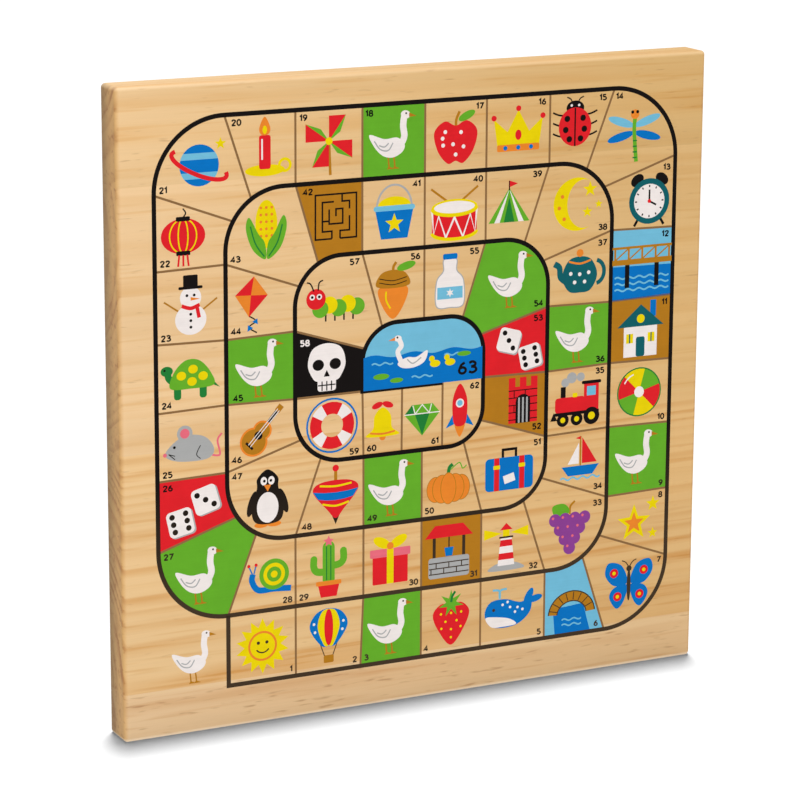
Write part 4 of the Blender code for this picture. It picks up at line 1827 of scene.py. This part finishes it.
@dataclass
class Studio:
    """White floor, soft light from the front and above, and the camera at the photographed angle."""

    azimuth: float = -26.554
    elevation: float = 13.63
    roll: float = 0.293
    distance: float = 1.5
    lens: float = 145.4
    aim: tuple[float, float, float] = (-9.33, -5.55, 145.53)
    floor_half: float = 6000.0
    paint: float = 0.4  # share of paint in the floor that lights the board
    sky: float = 0.17
    front_place: tuple[float, float, float] = (-0.6, -2.5, 0.4)
    front_size: float = 0.8
    front_power: float = 27.0
    ceiling: float = 40.0
    strip: tuple[float, float] = (1.2, 2.6)  # half angles across and along, in degrees
    lead: float = 0.15  # how far the strip reaches in front of the zenith, in degrees
    noon: float = 2.85

    def build(self) -> None:
        """Builds the floor, the world, the lamps and the camera."""
        self._floor()
        self._world()
        self._front()
        self._overhead()
        self._camera()

    def _floor(self) -> None:
        """Lays a wide matt white floor that keeps the board's shadow but not its warm glow.

        The camera sees white paint. The board is lit by that paint in part, and otherwise by a plain
        white of strength 1, so that its own shadow darkens its lower edge only a little.
        """
        for piece in bpy.context.scene.objects:
            piece.visible_diffuse = piece.hide_render
        side = np.array([-self.floor_half, self.floor_half]) * MM
        x, y = np.meshgrid(side, side)
        points = np.stack([x, y, np.full_like(x, CAD_BOX[0].z)], -1).reshape(-1, 3)
        floor = put_mesh("floor", points, np.array([[0, 1, 3], [0, 3, 2]]))
        material, tree, shader = new_material("matt_white_floor")
        shader.inputs["Base Color"].default_value = linear("FFFFFF")
        shader.inputs["Roughness"].default_value = 1.0
        shader.inputs["Specular IOR Level"].default_value = 0.0
        material.cycles.emission_sampling = "NONE"
        glow = add_node(tree, "ShaderNodeEmission")
        seen = add_node(tree, "ShaderNodeLightPath").outputs["Is Camera Ray"]
        paint = add_node(tree, "ShaderNodeMapRange", {"Value": seen, "To Min": self.paint})
        card = add_node(tree, "ShaderNodeMixShader", {0: paint, 1: glow, 2: shader})
        feed(tree, tree.nodes["Material Output"], {"Surface": card})
        floor.data.materials.append(material)
        floor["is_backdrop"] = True

    def _world(self) -> None:
        """Lights the scene with an even pale sky that the camera and reflections see as white."""
        world = bpy.data.worlds.new("studio")
        bpy.context.scene.world = world
        world.use_nodes = True
        tree = world.node_tree
        tree.nodes.clear()
        path = add_node(tree, "ShaderNodeLightPath")
        seen = path.outputs["Is Camera Ray"]
        for name in ("Is Glossy Ray", "Is Transmission Ray"):
            either = {0: seen, 1: path.outputs[name]}
            seen = add_node(tree, "ShaderNodeMath", either, operation="MAXIMUM").outputs[0]
        strength = add_node(tree, "ShaderNodeMapRange", {"Value": seen, "To Min": self.sky})
        light = add_node(tree, "ShaderNodeBackground", {"Strength": strength})
        light.inputs["Color"].default_value = linear("FFFFFF")
        add_node(tree, "ShaderNodeOutputWorld", {"Surface": light})

    def _stand(self, name: str, data: bpy.types.ID) -> Piece:
        """Puts a lamp or a camera in the scene."""
        holder = bpy.data.objects.new(name, data)
        bpy.context.scene.collection.objects.link(holder)
        return holder

    def _front(self) -> None:
        """Hangs a square soft box in front that faces the middle of the board."""
        lamp = bpy.data.lights.new("front", "AREA")
        lamp.size = self.front_size
        lamp.energy = self.front_power
        holder = self._stand("front", lamp)
        holder.location = self.front_place
        aim = (CAD_BOX[0] + CAD_BOX[1]) / 2 - Vector(self.front_place)
        holder.rotation_euler = aim.to_track_quat("-Z", "Y").to_euler()

    def _overhead(self) -> None:
        """Hangs a long narrow strip from overhead to far behind, for a soft shadow towards the camera."""
        turn = math.radians(self.azimuth)
        lamp = bpy.data.lights.new("overhead", "AREA")
        lamp.shape = "RECTANGLE"
        lamp.size, lamp.size_y = (2 * self.ceiling * math.tan(math.radians(half)) for half in self.strip)
        lamp.energy = self.noon * math.pi * self.ceiling**2
        holder = self._stand("overhead", lamp)
        back = lamp.size_y / 2 - self.ceiling * math.tan(math.radians(self.lead))
        holder.location = (-math.sin(turn) * back, math.cos(turn) * back, self.ceiling)
        holder.rotation_euler = (0.0, 0.0, turn)

    def _camera(self) -> None:
        """Sets the camera on its sphere round the aim point."""
        camera = bpy.data.cameras.new("camera")
        camera.lens = self.lens
        turn, rise = math.radians(self.azimuth), math.radians(self.elevation)
        level = math.cos(rise)
        back = Vector((math.sin(turn) * level, -math.cos(turn) * level, math.sin(rise)))
        facing = (-back).to_track_quat("-Z", "Y").to_matrix().to_4x4()
        roll = Matrix.Rotation(math.radians(self.roll), 4, "Z")
        place = Matrix.Translation(Vector(self.aim) * MM + back * self.distance)
        holder = self._stand("camera", camera)
        holder.matrix_world = place @ facing @ roll
        bpy.context.scene.camera = holder


PINES = {
    "top_stave": PineFinish(
        name="varnished_pine_top",
        early="E7C290",
        late="DAA562",
        pith_behind=30.0,
        pith_height=318.5,
        ring=7.6,
        contrast=0.7,
        tilt=1.2,
        seed=3.1,
        more_flecks=0.036,
    ),
    "upper_stave": PineFinish(
        name="varnished_pine_upper",
        early="EBC696",
        late="DDAB6D",
        pith_behind=45.0,
        pith_height=229.0,
        ring=5.6,
        contrast=0.5,
        tilt=0.8,
        seed=7.7,
    ),
    "lower_stave": PineFinish(
        name="varnished_pine_lower",
        early="E9C38E",
        late="D59C58",
        pith_behind=56.0,
        pith_height=22.0,
        ring=4.9,
        contrast=0.75,
        tilt=-0.7,
        seed=12.3,
        honey="F1EADA",
    ),
    "bottom_stave": PineFinish(
        name="varnished_pine_bottom",
        early="E5C296",
        late="CF9C68",
        pith_behind=22.0,
        pith_height=7.5,
        ring=6.8,
        contrast=0.5,
        tilt=0.5,
        seed=18.9,
        more_flecks=0.09,
        honey="F8F6EE",
        # a stronger painted highlight on this stave's round-overs, so that its bottom edge looks lit
        sanded=0.6,
    ),
}


def write_sizes() -> None:
    """Measures the box of the solids and the box of the dressed board, and keeps neither."""
    boxes = {"cad": CAD_BOX, "visual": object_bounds()}
    {name: [list(low), list(high)] for name, (low, high) in boxes.items()}


def main() -> None:
    """Builds the panel, the prints and the studio in order."""
    logging.basicConfig(level=logging.INFO, format="%(name)s: %(message)s")
    bpy.context.scene.view_settings.view_transform = "Standard"
    PinePanel(PINES).build()
    half = (CAD_BOX[1] - CAD_BOX[0]) / MM / 2
    GooseTrack().build(PrintedFace("goose", -1, half.z, half.y, PRINT_SHIFT, PRINT_STRETCH))
    LudoCross().build(PrintedFace("ludo", 1, half.z, half.y))
    Studio().build()
    write_sizes()


if __name__ == "__main__":
    main()
